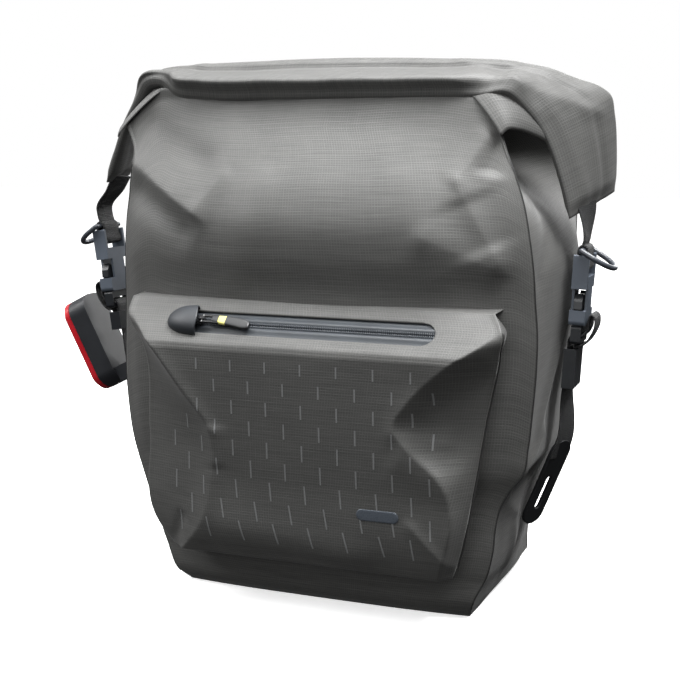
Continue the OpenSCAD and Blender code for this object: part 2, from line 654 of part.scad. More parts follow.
front_panel();
side_gusset(LEFT);  // side_gusset_left
side_gusset(RIGHT);  // side_gusset_right
base_panel();
back_panel();
stiffener_board();
roll_top();
roll_stiffener();
pocket_shell();
zip_tape_upper();
zip_tape_lower();
zip_teeth_upper();
zip_teeth_lower();
zip_slider();
zip_puller();
zip_pull_tab();
zip_garage();
reflective_patch();
roll_strap(LEFT);  // roll_strap_left
roll_strap(RIGHT);  // roll_strap_right
d_ring(LEFT);  // d_ring_left
d_ring(RIGHT);  // d_ring_right
buckle_socket(LEFT);  // buckle_socket_left
buckle_socket(RIGHT);  // buckle_socket_right
buckle_plug(LEFT);  // buckle_plug_left
buckle_plug(RIGHT);  // buckle_plug_right
buckle_prongs(LEFT);  // buckle_prongs_left
buckle_prongs(RIGHT);  // buckle_prongs_right
side_strap(LEFT);  // side_strap_left
side_strap(RIGHT);  // side_strap_right
strap_tail(LEFT);  // strap_tail_left
strap_tail(RIGHT);  // strap_tail_right
strap_keeper(LEFT);  // strap_keeper_left
strap_keeper(RIGHT);  // strap_keeper_right
strap_anchor(LEFT);  // strap_anchor_left
strap_anchor(RIGHT);  // strap_anchor_right
light_housing();
light_lens();
light_seal();
light_button();
light_clip();
light_battery();
light_board();
mount_rail();
hook(LEFT);  // hook_left
hook(RIGHT);  // hook_right
hook_insert(LEFT);  // hook_insert_left
hook_insert(RIGHT);  // hook_insert_right
latch(LEFT);  // latch_left
latch(RIGHT);  // latch_right
latch_pin(LEFT);  // latch_pin_left
latch_pin(RIGHT);  // latch_pin_right
rail_screws();
rail_nuts();
carry_handle();
handle_mounts();
lower_rail();
stay_hook();
stay_hook_bolt();
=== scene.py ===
"""A roll-top pannier bag of coated ripstop fabric, with its pocket, straps, rear light and rack fittings."""
import math

import bmesh
import bpy
import numpy as np
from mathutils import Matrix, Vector


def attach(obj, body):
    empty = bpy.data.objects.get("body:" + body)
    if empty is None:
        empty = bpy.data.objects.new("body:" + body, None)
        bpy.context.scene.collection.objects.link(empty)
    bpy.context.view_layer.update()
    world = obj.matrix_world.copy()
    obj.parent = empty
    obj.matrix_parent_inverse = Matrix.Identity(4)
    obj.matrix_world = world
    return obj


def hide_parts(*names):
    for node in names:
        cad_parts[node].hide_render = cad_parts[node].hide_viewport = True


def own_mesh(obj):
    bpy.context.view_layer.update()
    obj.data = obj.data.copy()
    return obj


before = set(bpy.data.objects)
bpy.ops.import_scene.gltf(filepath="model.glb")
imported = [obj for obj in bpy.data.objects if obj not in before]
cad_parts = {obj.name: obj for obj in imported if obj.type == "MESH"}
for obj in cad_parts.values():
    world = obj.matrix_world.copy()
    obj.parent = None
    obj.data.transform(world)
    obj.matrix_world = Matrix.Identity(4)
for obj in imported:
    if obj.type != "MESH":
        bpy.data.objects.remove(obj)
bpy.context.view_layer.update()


# ---- Front panel ----
# The front of the bag is one sheet of polyester ripstop, coated and welded to the sides along a
# narrow seam. It swells with what is inside, leans back under the roll, and is creased at its
# upper corners where rolling the top has gathered it.
MM = 0.001
FABRIC_T = 1.1
FRONT_COLS = 200
FRONT_ROWS = 190


def curve(*points):
    """A smooth line through points given as (place, value), as a function of the place."""
    places, values = np.array(points, float).T
    slopes = np.gradient(values, places)

    def at(place):
        place = np.clip(place, places[0], places[-1])
        k = np.clip(np.searchsorted(places, place) - 1, 0, len(places) - 2)
        span = places[k + 1] - places[k]
        f = (place - places[k]) / span
        rise = values[k] * (1 + 2 * f) * (1 - f) ** 2 + values[k + 1] * f * f * (3 - 2 * f)
        return rise + span * f * (1 - f) * (slopes[k] * (1 - f) - slopes[k + 1] * f)
    return at


def ease(t):
    """A smooth step from 0 to 1 as t goes from 0 to 1."""
    t = np.clip(t, 0, 1)
    return t * t * (3 - 2 * t)


def mix(a, b, t):
    return a + (b - a) * t


def unit(vectors):
    """The same directions at length 1."""
    return vectors / np.linalg.norm(vectors, axis=-1, keepdims=True)


def from_segment(x, z, a, b):
    """Distance from the line a-b, signed with its left side positive, and the place along it."""
    a, b = np.array(a, float), np.array(b, float)
    along = (b - a) / np.linalg.norm(b - a)
    place = ((x - a[0]) * along[0] + (z - a[1]) * along[1]) / np.linalg.norm(b - a)
    side = (z - a[1]) * along[0] - (x - a[0]) * along[1]
    return side, place


def fold(x, z, a, b, height, width, sharp=0.0):
    """A ridge of fabric from a to b that dies out past its ends, rounded or drawn to an edge."""
    side, place = from_segment(x, z, a, b)
    ends = ease((place + 0.25) / 0.3) * ease((1.25 - place) / 0.3)
    r = np.abs(side) / width
    return height * ends * mix(np.exp(-r * r), np.exp(-1.4 * r), sharp)


def waves(x, z, scale, seed, count=7):
    """Slow, uneven swelling made of a few sine waves, between about -1 and 1."""
    draw = np.random.default_rng(seed)
    total = 0
    for _ in range(count):
        turn, phase = draw.uniform(0, 2 * math.pi, 2)
        pitch = scale * draw.uniform(0.6, 1.7)
        total = total + np.sin(2 * math.pi * (x * math.cos(turn) + z * math.sin(turn)) / pitch + phase)
    return total / count


def linear(hex_colour):
    """A hex sRGB colour as the linear values that a shader takes."""
    parts = [int(hex_colour[i:i + 2], 16) / 255 for i in (1, 3, 5)]
    return [c / 12.92 if c <= 0.04045 else ((c + 0.055) / 1.055) ** 2.4 for c in parts] + [1.0]


def add(tree, kind, settings=None, **links):
    """Adds a node, sets its properties and sockets, and links other nodes' outputs to its inputs."""
    made = tree.nodes.new(kind)
    for key, value in (settings or {}).items():
        if isinstance(key, int) or key in made.inputs.keys():
            made.inputs[key].default_value = value
        else:
            setattr(made, key, value)
    for key, source in links.items():
        socket = made.inputs[int(key[1:])] if key[1:].isdigit() else made.inputs[key.replace("_", " ")]
        tree.links.new(source, socket)
    return made


def new_material(name):
    made = bpy.data.materials.new(name)
    made.use_nodes = True
    made.node_tree.nodes.clear()
    return made, made.node_tree


def finish_material(tree, shader):
    add(tree, "ShaderNodeOutputMaterial", Surface=shader.outputs[0])


def coated_fabric(name, low, high, thread=1.9, roughness=0.56):
    """Coated polyester ripstop: a fine square grid of thicker threads under a satin coating, with
    slubs that run along the cloth and a slow mottling where the coating is thicker. The UV map is
    in metres. The real grid of 0.4 mm threads is too fine to show, so it is drawn coarser."""
    made, tree = new_material(name)
    uv = add(tree, "ShaderNodeUVMap", {"uv_map": "cloth"})
    split = add(tree, "ShaderNodeSeparateXYZ", Vector=uv.outputs[0])
    turns = 2 * math.pi / (thread * MM)
    threads = []
    for axis, wobble_scale in ((0, (700, 40, 1)), (1, (40, 700, 1))):
        stretch = add(tree, "ShaderNodeMapping", {"Scale": wobble_scale}, Vector=uv.outputs[0])
        uneven = add(tree, "ShaderNodeTexNoise", {"Scale": 1.0, "Detail": 2.0}, Vector=stretch.outputs[0])
        line = add(tree, "ShaderNodeMath", {"operation": "MULTIPLY", 1: turns}, _0=split.outputs[axis])
        wave = add(tree, "ShaderNodeMath", {"operation": "SINE"}, _0=line.outputs[0])
        peak = add(tree, "ShaderNodeMapRange", {"From Min": 0.35, "From Max": 1.0}, Value=wave.outputs[0])
        threads.append(add(tree, "ShaderNodeMath", {"operation": "MULTIPLY"},
                           _0=peak.outputs[0], _1=uneven.outputs["Fac"]))
    grid = add(tree, "ShaderNodeMath", {"operation": "MAXIMUM"},
               _0=threads[0].outputs[0], _1=threads[1].outputs[0])
    slub_map = add(tree, "ShaderNodeMapping", {"Scale": (26, 640, 1)}, Vector=uv.outputs[0])
    slub = add(tree, "ShaderNodeTexNoise", {"Scale": 1.0, "Detail": 3.0}, Vector=slub_map.outputs[0])
    grain = add(tree, "ShaderNodeTexNoise", {"Scale": 1400.0, "Detail": 2.0}, Vector=uv.outputs[0])
    mottle = add(tree, "ShaderNodeTexNoise", {"Scale": 22.0, "Detail": 4.0}, Vector=uv.outputs[0])
    tone = add(tree, "ShaderNodeMath", {"operation": "MULTIPLY", 1: 0.42}, _0=slub.outputs["Fac"])
    tone = add(tree, "ShaderNodeMath", {"operation": "MULTIPLY_ADD", 1: 0.34}, _0=grid.outputs[0],
               _2=tone.outputs[0])
    tone = add(tree, "ShaderNodeMath", {"operation": "MULTIPLY_ADD", 1: 0.26}, _0=grain.outputs["Fac"],
               _2=tone.outputs[0])
    tone = add(tree, "ShaderNodeMath", {"operation": "MULTIPLY_ADD", 1: 0.24}, _0=mottle.outputs["Fac"],
               _2=tone.outputs[0])
    shade = add(tree, "ShaderNodeMapRange", {"From Min": 0.32, "From Max": 0.86}, Value=tone.outputs[0])
    colour = add(tree, "ShaderNodeMix", {"data_type": "RGBA", 6: linear(low), 7: linear(high)},
                 _0=shade.outputs[0])
    gloss = add(tree, "ShaderNodeMapRange", {"From Min": 0.3, "From Max": 0.7,
                "To Min": roughness + 0.05, "To Max": roughness - 0.06}, Value=mottle.outputs["Fac"])
    relief = add(tree, "ShaderNodeMath", {"operation": "MULTIPLY_ADD", 1: 0.5}, _0=slub.outputs["Fac"],
                 _2=grid.outputs[0])
    bump = add(tree, "ShaderNodeBump", {"Strength": 0.55, "Distance": 0.00018}, Height=relief.outputs[0])
    shader = add(tree, "ShaderNodeBsdfPrincipled",
                 {"IOR": 1.5, "Sheen Weight": 0.12, "Sheen Roughness": 0.5},
                 Base_Color=colour.outputs[2], Roughness=gloss.outputs[0], Normal=bump.outputs[0])
    finish_material(tree, shader)
    return made


def put(name, data):
    """A new object for some data, in the scene."""
    made = bpy.data.objects.new(name, data)
    bpy.context.collection.objects.link(made)
    return made


def cloth_piece(name, rows, material, inwards=FABRIC_T, closed=False):
    """A sheet of fabric through a grid of points in millimetres, with a UV map in metres."""
    rows = np.array(rows, float)
    if closed:
        rows = np.concatenate([rows, rows[:, :1]], axis=1)
    across = np.linalg.norm(np.diff(rows, axis=1), axis=2).mean(axis=0)
    up = np.linalg.norm(np.diff(rows, axis=0), axis=2).mean(axis=1)
    u = np.concatenate([[0], np.cumsum(across)]) * MM
    v = np.concatenate([[0], np.cumsum(up)]) * MM
    count_u, count_v = rows.shape[1], rows.shape[0]
    span = count_u - 1 if closed else count_u
    places = [tuple(p * MM) for row in rows[:, :span] for p in row]
    faces, corners = [], []
    for i in range(count_v - 1):
        for j in range(count_u - 1):
            m = (j + 1) % span
            faces.append((i * span + j, i * span + m, (i + 1) * span + m, (i + 1) * span + j))
            corners += [(u[j], v[i]), (u[j + 1], v[i]), (u[j + 1], v[i + 1]), (u[j], v[i + 1])]
    mesh = bpy.data.meshes.new(name)
    mesh.from_pydata(places, [], faces)
    mesh.uv_layers.new(name="cloth")
    mesh.uv_layers["cloth"].data.foreach_set("uv", np.array(corners).ravel())
    mesh.shade_smooth()
    mesh.materials.append(material)
    made = put(name, mesh)
    if inwards:
        wall = made.modifiers.new("wall", "SOLIDIFY")
        wall.thickness = inwards * MM
        wall.offset = -1
    return made


shell_fabric = coated_fabric("coated_ripstop", "#3a3a39", "#5e5e5c")
left_seam_x = curve((0, -112), (8, -119), (20, -125), (48, -136), (75, -147), (107, -158), (141, -163),
                    (211, -163), (298, -160), (324, -158), (341, -167))
right_seam_x = curve((0, 108), (18, 114), (30, 120), (51, 125), (66, 126), (82, 129), (94, 135),
                     (105, 143), (126, 147), (148, 149), (180, 151), (203, 151), (226, 149), (241, 148),
                     (268, 144), (290, 139), (311, 131), (326, 124), (341, 118))
seam_y = curve((0, -62), (6, -67), (30, -68), (100, -64), (200, -62), (280, -60), (330, -50), (362, -41))
middle_y = curve((0, -66), (5, -73), (20, -79), (60, -84), (120, -88), (200, -88), (228, -88),
                 (254, -92), (276, -91), (298, -82), (322, -66), (345, -50), (362, -41))
crest_z = curve((-170, 341), (-162, 352), (-152, 364), (-141, 370), (-128, 366), (0, 362), (95, 361),
                (108, 358), (118, 346))
MOUTH_LEFT, MOUTH_RIGHT = -168, 118
SWELL_POWER = 3.2
# A fold runs from one point to another. Its height, its width and how sharp it is come after them.
FRONT_FOLDS = [
    # The left corner folds towards the roll, lit above its edge and dark below
    ((-164, 318), (-94, 281), 4.6, 10.0, 0.5),
    ((-150, 296), (-100, 270), -3.6, 13.0),
    ((-92, 281), (-74, 308), 1.6, 9.0, 0.3),
    ((-148, 342), (-92, 314), -3.2, 13.0),
    # The right corner is drawn into a hollow between the seam and the roll's end
    ((96, 306), (112, 334), 2.4, 9.0, 0.4),
    ((116, 312), (120, 334), -3.0, 8.0),
    ((104, 290), (116, 262), -2.2, 18.0),
    ((98, 300), (128, 250), 2.4, 8.0, 0.4),
    ((78, 268), (124, 248), 2.8, 12.0, 0.3),
    # Long soft pulls down the front
    ((-40, 300), (-60, 232), 1.2, 15.0),
    ((60, 310), (84, 240), 1.2, 16.0),
    ((-150, 250), (-147, 120), 1.6, 9.0),
]


def front_point(u, v):
    """A point of the front from the left seam, u 0, to the right, u 1, and from the base up."""
    z = mix(0, crest_z(mix(MOUTH_LEFT, MOUTH_RIGHT, u)), v)
    x = mix(left_seam_x(z), right_seam_x(z), u)
    swell = 1 - np.abs(2 * u - 1) ** SWELL_POWER
    y = mix(seam_y(z), middle_y(z), swell)
    out = 1.6 * waves(x, z, 150, 3) * swell
    for line in FRONT_FOLDS:
        out += fold(x, z, *line)
    return np.stack([x, y - out * ease(v * 12), z], axis=-1)


def grid(columns, rows):
    """Two arrays of places from 0 to 1, across and up a sheet."""
    return np.meshgrid(np.linspace(0, 1, columns), np.linspace(0, 1, rows))


front_rows = front_point(*grid(FRONT_COLS, FRONT_ROWS))
front = cloth_piece("front_fabric", front_rows, shell_fabric)
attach(front, "bag")
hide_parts("front_panel")


# ---- Sides, back and base ----
# The side panels run from the front seam to the flat back, which a board inside holds straight.
# They are the same coated fabric, and fold inwards below the roll. The base is a heavier sheet that stands on
# the ground, its fabric painted a darker grey as shade under the bag.
SIDE_COLS = 90
BACK_COLS = 80
BACK_Y, BACK_TOP_Z = 74.0, 372.0
# The back is widest at its middle height, narrows at its foot and shoulders, and leans to the roll
FOOT_HALF, SPREAD, SHOULDER_TAPER, CORNER_ROUND = 118, 32, 26, 8
LEAN_FROM_Z, LEAN = 300, 80


def back_seam(v, side):
    """The line where a side panel meets the back, up to the narrow top of the back."""
    z = BACK_TOP_Z * v
    x = (FOOT_HALF + SPREAD * ease((z - 20) / 130) - SHOULDER_TAPER * ease((z - 285) / 80)
         - CORNER_ROUND * (1 - ease(z / 9)))
    y = BACK_Y - LEAN * ease((z - LEAN_FROM_Z) / (BACK_TOP_Z - LEAN_FROM_Z))
    return np.stack([side * x, y, z], axis=-1)


right_bulge = curve((0, 2), (23, 4), (43, 6), (91, 6), (125, 3), (138, 2), (165, 4), (196, 8), (228, 13),
                    (255, 12), (278, 4), (295, -10), (320, -30), (345, -42), (372, -46))
left_bulge = curve((0, 2), (30, 6), (120, 8), (220, 8), (270, 6), (290, 0), (310, -10), (345, -30),
                   (372, -40))
SIDE_FOLDS = {
    1: [((-66, 104), (-34, 132), 3.4, 6.0, 0.5), ((-60, 86), (-30, 70), 3.0, 7.0, 0.4),
        ((-52, 96), (-20, 100), -4.0, 8.0), ((-40, 140), (-8, 205), 3.0, 8.0, 0.4),
        ((-30, 60), (-14, 24), 2.4, 7.0, 0.4), ((-56, 240), (-20, 285), -3.0, 9.0)],
    -1: [((-50, 150), (20, 120), 2.6, 9.0, 0.4), ((-45, 250), (10, 286), -3.0, 10.0),
         ((-40, 70), (30, 50), 2.2, 8.0, 0.4)],
}


def side_rows(side):
    """Rows of points on a side panel, from the front seam to the back."""
    front_edge = front_rows[:, 0 if side < 0 else -1][:, None]
    w, v = grid(SIDE_COLS, FRONT_ROWS)
    at = mix(front_edge, back_seam(v, side), w[..., None])
    y, z = at[..., 1], at[..., 2]
    bulge = (left_bulge if side < 0 else right_bulge)(z)
    swell = np.sin(math.pi * w)
    out = bulge * swell ** 0.8 + 1.8 * waves(y, z, 110, 8 + side) * swell
    for line in SIDE_FOLDS[side]:
        out += fold(y, z, *line)
    at[..., 0] += side * out * swell ** 0.3
    return at


side_panels = {}
for side, word in ((-1, "left"), (1, "right")):
    rows = side_rows(side)
    gusset = cloth_piece(f"side_fabric_{word}", rows if side > 0 else rows[:, ::-1], shell_fabric)
    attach(gusset, "bag")
    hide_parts(f"side_gusset_{word}")
    side_panels[side] = rows

u, v = grid(BACK_COLS, FRONT_ROWS)
back_rows = mix(back_seam(v, 1), back_seam(v, -1), u[..., None])
back_rows[..., 1] += 0.4 * waves(back_rows[..., 0], back_rows[..., 2], 120, 21) * ease((v - 0.78) / 0.1)
back = cloth_piece("back_fabric", back_rows, shell_fabric)
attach(back, "bag")
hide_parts("back_panel")

# A sheet between the lowest rows of the four walls, sagging a little in the middle
BASE_COLS = 60
BASE_T = 2.4
front_low = front_rows[0][np.linspace(0, FRONT_COLS - 1, BASE_COLS).astype(int)]
back_low = back_rows[0][::-1][np.linspace(0, BACK_COLS - 1, BASE_COLS).astype(int)]
across, deep = grid(BASE_COLS, SIDE_COLS)
across, deep = across[..., None], deep[..., None]
base_rows = mix(front_low[None], back_low[None], deep)
base_rows = base_rows + mix(side_panels[-1][0][:, None], side_panels[1][0][:, None], across)
corners = mix(mix(front_low[0], front_low[-1], across), mix(back_low[0], back_low[-1], across), deep)
base_rows = base_rows - corners
base_rows[..., 2] = 0.2 + 1.2 * np.cos(math.pi * (across[..., 0] - 0.5)) * np.sin(math.pi * deep[..., 0])
# The base cloth is the shell fabric with its light tone darkened, painted shade for the underside of the bag
painted_shade_base_cloth = coated_fabric("coated_painted_shade_base_cloth", "#3b3b3a", "#545452", thread=2.4)
base = cloth_piece("base_fabric_sheet", base_rows[::-1], painted_shade_base_cloth, inwards=BASE_T)
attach(base, "bag")
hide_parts("base_panel")


# ---- Welded seams ----
# The fabric's edges are welded and trimmed, which leaves a thin dark line down each seam.
weld_dark, weld_tree = new_material("trimmed_weld")
weld_grain = add(weld_tree, "ShaderNodeTexNoise", {"Scale": 900.0},
                 Vector=add(weld_tree, "ShaderNodeTexCoord").outputs["Object"])
weld_colour = add(weld_tree, "ShaderNodeMix", {"data_type": "RGBA", 6: linear("#1d1d1d"),
                  7: linear("#333332")}, _0=weld_grain.outputs["Fac"])
finish_material(weld_tree, add(weld_tree, "ShaderNodeBsdfPrincipled", {"Roughness": 0.6},
                               Base_Color=weld_colour.outputs[2]))


def reshape(mesh, change):
    """Makes a change to a mesh, and turns its faces outwards."""
    edit = bmesh.new()
    edit.from_mesh(mesh)
    change(edit)
    bmesh.ops.recalc_face_normals(edit, faces=edit.faces)
    edit.to_mesh(mesh)
    edit.free()


def close_ends(made, sides):
    """Closes a tube of rings at both ends."""
    def cap(edit):
        edit.verts.ensure_lookup_table()
        count = len(edit.verts)
        for end in (range(sides), range(count - sides, count)):
            edit.faces.new([edit.verts[i] for i in end])
    reshape(made.data, cap)


def tube(name, line, radius, material, sides=8):
    """A thin bead along a line of points in millimetres."""
    line = np.array(line, float)
    run = unit(np.gradient(line, axis=0))
    lead = unit(np.cross(run, [0, 1, 0]))
    other = np.cross(run, lead)
    rings = [line + radius * (math.cos(a) * lead + math.sin(a) * other)
             for a in np.linspace(0, 2 * math.pi, sides, endpoint=False)]
    made = cloth_piece(name, np.stack(rings, axis=1), material, inwards=0, closed=True)
    close_ends(made, sides)
    return made


for word, edge in (("left", front_rows[:, 0]), ("right", front_rows[:, -1]),
                   ("back_left", back_rows[:150, -1]), ("back_right", back_rows[:150, 0])):
    seam = tube(f"weld_{word}", edge[4:-6] + [0, 0.1, 0], 0.5, weld_dark)
    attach(seam, "bag")


# ---- Rolled top ----
# The mouth of the bag is rolled over a stiff strip, and both ends are folded down the sides and
# clipped. The roll shows its plies as a rounded front fold with a flat flap lying on top.
ROLL_STEPS = 260
ROLL_RING = 72
ROLL_HALF_T, WING_HALF_T = 8.5, 4.6
PRESSED_ROWS = 7


def along(points, count):
    """Points at even steps along a smooth line through the given ones."""
    points = np.array(points, float)
    length = np.concatenate([[0], np.cumsum(np.linalg.norm(np.diff(points, axis=0), axis=1))])
    steps = np.linspace(0, length[-1], count)
    return np.stack([curve(*zip(length, points[:, k]))(steps) for k in range(3)], axis=-1)


roll_front = along([(-199, -26, 299), (-189, -29, 320), (-178, -32, 343), (-163, -36, 363), (-152, -40, 374),
                    (-141, -41, 374), (-130, -41, 365), (-106, -41, 361), (-50, -41, 360), (0, -41, 360),
                    (60, -41, 360), (103, -41, 361), (121, -40, 363), (133, -35, 352), (145, -29, 334),
                    (156, -26, 305), (163, -25, 279)], ROLL_STEPS)
roll_back = along([(-206, 21, 304), (-195, 19, 328), (-181, 15, 352), (-166, 6, 370), (-154, -2, 380),
                   (-144, -5, 383), (-120, -5, 385), (-70, -5, 387), (-12, -5, 388), (40, -5, 387),
                   (90, -5, 385), (112, -4, 384), (136, 3, 381), (160, 14, 373), (174, 20, 368),
                   (180, 23, 363), (183, 24, 350), (185, 25, 325), (185, 25, 296)], ROLL_STEPS)
s = np.linspace(-1, 1, ROLL_STEPS)
middle = (roll_front + roll_back) / 2
across_roll = roll_back - roll_front
lift = unit(np.cross(np.gradient(middle, axis=0), across_roll))
# The right end is a broad flat wing, and the left end a narrower one
half_t = mix(ROLL_HALF_T, WING_HALF_T, np.maximum(ease((s - 0.42) / 0.2), ease((-0.55 - s) / 0.2)))
half_t -= 2.6 * np.exp(-((s + 0.56) / 0.045) ** 2) + 1.5 * np.exp(-((s - 0.5) / 0.05) ** 2)
around = np.linspace(0, 2 * math.pi, ROLL_RING, endpoint=False)
roll_rows = []
for k in range(ROLL_STEPS):
    ring = []
    for a in around:
        w = -math.cos(a)
        thick = half_t[k] * abs(math.sin(a)) ** 0.62 * (1 if math.sin(a) > 0 else -1)
        upper = max(math.sin(a), 0) ** 0.5
        # A groove where the top ply begins, with a swell on both sides of it
        thick += upper * half_t[k] / ROLL_HALF_T * (2.4 * math.exp(-((w + 0.42) / 0.30) ** 2)
                                                   - 2.6 * math.exp(-((w - 0.30) / 0.10) ** 2)
                                                   + 0.9 * math.exp(-((w - 0.62) / 0.25) ** 2))
        # The rounded fold stands out in front and shades what is under it
        brow = 14.0 * ((half_t[k] - 3) / 5.5) ** 1.5 * upper * math.exp(-((w + 0.55) / 0.27) ** 2)
        ahead = across_roll[k] * [1, 1, 0] / np.linalg.norm(across_roll[k])
        ring.append(middle[k] + across_roll[k] * w / 2 + lift[k] * thick - ahead * brow)
    roll_rows.append(ring)
roll_rows = np.array(roll_rows)
x, y, z = roll_rows[..., 0], roll_rows[..., 1], roll_rows[..., 2]
dent = 0.9 * waves(x, 3 * y + z, 90, 31) + 0.5 * waves(x, 4 * y + z, 34, 32)
ROLL_FOLDS = [((84, 386), (126, 366), 1.8, 5.0, 0.4), ((118, 384), (140, 350), 2.0, 5.0, 0.5),
              ((124, 372), (172, 352), 1.6, 5.0, 0.4), ((136, 366), (158, 300), -1.6, 7.0),
              ((172, 350), (176, 300), 1.2, 8.0), ((-118, 388), (-146, 372), 1.8, 5.0, 0.4),
              ((-152, 380), (-190, 330), -1.2, 6.0)]
for line in ROLL_FOLDS:
    dent += fold(x, z, *line)
facing = np.sin(around) ** 2 * np.sign(np.sin(around))
roll_rows = roll_rows + lift[:, None] * (dent * facing)[..., None]
# Both ends close to a flat, pressed edge
for end, inner in ((0, PRESSED_ROWS - 1), (ROLL_STEPS - 1, ROLL_STEPS - PRESSED_ROWS)):
    heart = roll_rows[end].mean(axis=0)
    flat = roll_rows[end] - (roll_rows[end] - heart) @ lift[end][:, None] * lift[end] * 0.75
    for step, k in enumerate(np.linspace(inner, end, PRESSED_ROWS).astype(int)):
        pressed = flat + (roll_rows[k] - roll_rows[end])
        roll_rows[k] = mix(roll_rows[k], pressed, ease(step / (PRESSED_ROWS - 1)) * 0.9)

roll_fabric = coated_fabric("coated_ripstop_roll", "#3a3a39", "#5e5e5c")
roll = cloth_piece("roll_fabric", roll_rows, roll_fabric, inwards=0, closed=True)
close_ends(roll, ROLL_RING)
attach(roll, "bag")
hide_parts("roll_top")

# Beside the roll the mouth of the bag bends back over each folded side in a short curved lip
for side, word in ((-1, "left"), (1, "right")):
    if side > 0:
        lip_low = along([(116, -50, 340), (121, -47, 344), (128, -41, 344), (138, -33, 340), (148, -25, 333),
                         (152, -18, 326)], 40)
        lip_high = along([(96, -40, 362), (108, -38, 366), (120, -34, 366), (134, -27, 359), (146, -20, 349),
                          (152, -14, 338)], 40)
    else:
        lip_low = along([(-166, -50, 341), (-168, -45, 345), (-166, -38, 350), (-160, -24, 352),
                         (-154, -14, 350)], 40)
        lip_high = along([(-140, -40, 368), (-143, -37, 370), (-146, -33, 371), (-146, -22, 370),
                          (-144, -12, 368)], 40)
    bow = np.linspace(-0.25, 1, 22)[:, None, None]
    lip_rows = mix(lip_low[None], lip_high[None], bow)
    arch = 5.5 * np.sqrt(np.clip((bow + 0.25) / 1.25, 0, 1)) * (1 - np.clip(bow, 0, 1)) ** 0.5
    lip_rows = lip_rows + arch * np.array([0.25 * side, -0.6, 0.75])
    lip = cloth_piece(f"mouth_lip_{word}", lip_rows if side > 0 else lip_rows[:, ::-1], shell_fabric)
    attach(lip, "bag")


# ---- Front pocket ----
# A bellows pocket of the same fabric, welded on along its edges. A sloping top carries the zip,
# a ridge runs under it, and both sides fall away in flat facets from a soft crease.
RIDGE_Z, RIDGE_Y = 192.0, -118.0
RIDGE_BEND = 2.5
POCKET_TOP_Z, POCKET_TOP_Y = 220.0, -88.0
POCKET_FOOT_Z = 38.0
pocket_left = curve((38, -107), (47, -115), (122, -127), (192, -132), (209, -139), (221, -141))
pocket_right = curve((38, 104), (54, 109), (95, 117), (150, 125), (195, 134), (209, 136), (221, 128))
face_y = curve((38, -104), (48, -108), (100, -113), (150, -116.5), (192, -118))
edge_y = curve((38, -95), (60, -97), (190, -97), (204, -101), (209, -100), (221, -88))
left_crease = curve((38, -98), (59, -80), (100, -67), (120, -65), (134, -69), (160, -89), (190, -113),
                    (209, -134), (221, -136))
right_crease = curve((38, 96), (60, 103), (90, 106), (112, 98), (130, 78), (144, 68), (160, 76), (189, 106),
                     (209, 131), (221, 124))

POCKET_FOLDS = [
    # Down the left facet's edge
    ((-112, 190), (-68, 136), 1.2, 6.0, 0.4), ((-66, 132), (-66, 108), 1.4, 9.0),
    ((-70, 98), (-82, 50), 1.2, 10.0),
    # Round the tip of the right facet, with the hollow behind it
    ((128, 207), (74, 156), 1.0, 7.0, 0.3), ((66, 141), (100, 134), 1.4, 9.0, 0.3),
    ((92, 162), (126, 180), -2.0, 12.0), ((72, 124), (108, 108), 1.6, 14.0),
    # Along the foot
    ((-60, 60), (40, 48), 1.6, 14.0), ((80, 76), (106, 48), 1.8, 5.0, 0.5),
    ((-96, 64), (-104, 44), -1.6, 5.0),
]


def pocket_y(x, z):
    """How far back the pocket's face is at x and z."""
    slope = RIDGE_Y + (z - RIDGE_Z) * (POCKET_TOP_Y - RIDGE_Y) / (POCKET_TOP_Z - RIDGE_Z)
    turn = (z - RIDGE_Z + RIDGE_BEND) / (2 * RIDGE_BEND)
    rounded = mix(face_y(z), slope, np.clip(turn, 0, 1) ** 2) + 0.9 * np.sin(math.pi * turn)
    y = np.where(turn < 0, face_y(z), np.where(turn > 1, slope, rounded))
    from_left = np.clip((x - pocket_left(z)) / (left_crease(z) - pocket_left(z)), 0, 1)
    from_right = np.clip((pocket_right(z) - x) / (pocket_right(z) - right_crease(z)), 0, 1)
    y = mix(edge_y(z), y, from_left ** 1.15 * from_right ** 1.1)
    out = 1.1 * waves(x, z, 120, 41) * ease((RIDGE_Z - z) / 20)
    for line in POCKET_FOLDS:
        out += fold(x, z, *line)
    centre = np.minimum(from_left, from_right)
    return y - out * ease(centre * 6) * ease((z - POCKET_FOOT_Z) / 12) * ease((POCKET_TOP_Z - z) / 40)


def body_y(x, z):
    """Where the front panel lies behind the pocket."""
    place = (x - left_seam_x(z)) / (right_seam_x(z) - left_seam_x(z))
    return mix(seam_y(z), middle_y(z), 1 - np.abs(2 * place - 1) ** SWELL_POWER)


FACE_COLS = 190
face_z = np.concatenate([np.linspace(38.6, 48, 10), np.linspace(49, 188, 110), np.linspace(189, 220, 30)])
face_u, face_v = np.meshgrid(np.linspace(0, 1, FACE_COLS), face_z)
face_x = mix(pocket_left(face_v), pocket_right(face_v), face_u)
face = np.stack([face_x, pocket_y(face_x, face_v), face_v], axis=-1)
pocket_heart = np.array([0, 0, 130.0])


def return_wall(edge, steps=6, inset=5.0):
    """Points in a straight line from an edge of the pocket back to the bag."""
    foot = edge + unit((pocket_heart - edge) * [1, 0, 1]) * inset
    foot[..., 1] = np.minimum(body_y(foot[..., 0], foot[..., 2]) + 0.4, 0)
    return [mix(edge, foot, t) for t in np.linspace(0, 1, steps + 1)[1:]]


left_wall = return_wall(face[:, 0])
right_wall = return_wall(face[:, -1])
wide = np.stack(left_wall[::-1] + list(face.transpose(1, 0, 2)) + right_wall, axis=1)
low_wall = return_wall(wide[0], inset=3.0)
high_wall = return_wall(wide[-1], steps=3, inset=-1.5)
pocket_rows = np.stack(low_wall[::-1] + list(wide) + high_wall, axis=0)
pocket_fabric = coated_fabric("coated_ripstop_pocket", "#383837", "#5b5b59")
pocket = cloth_piece("pocket_fabric", pocket_rows, pocket_fabric)

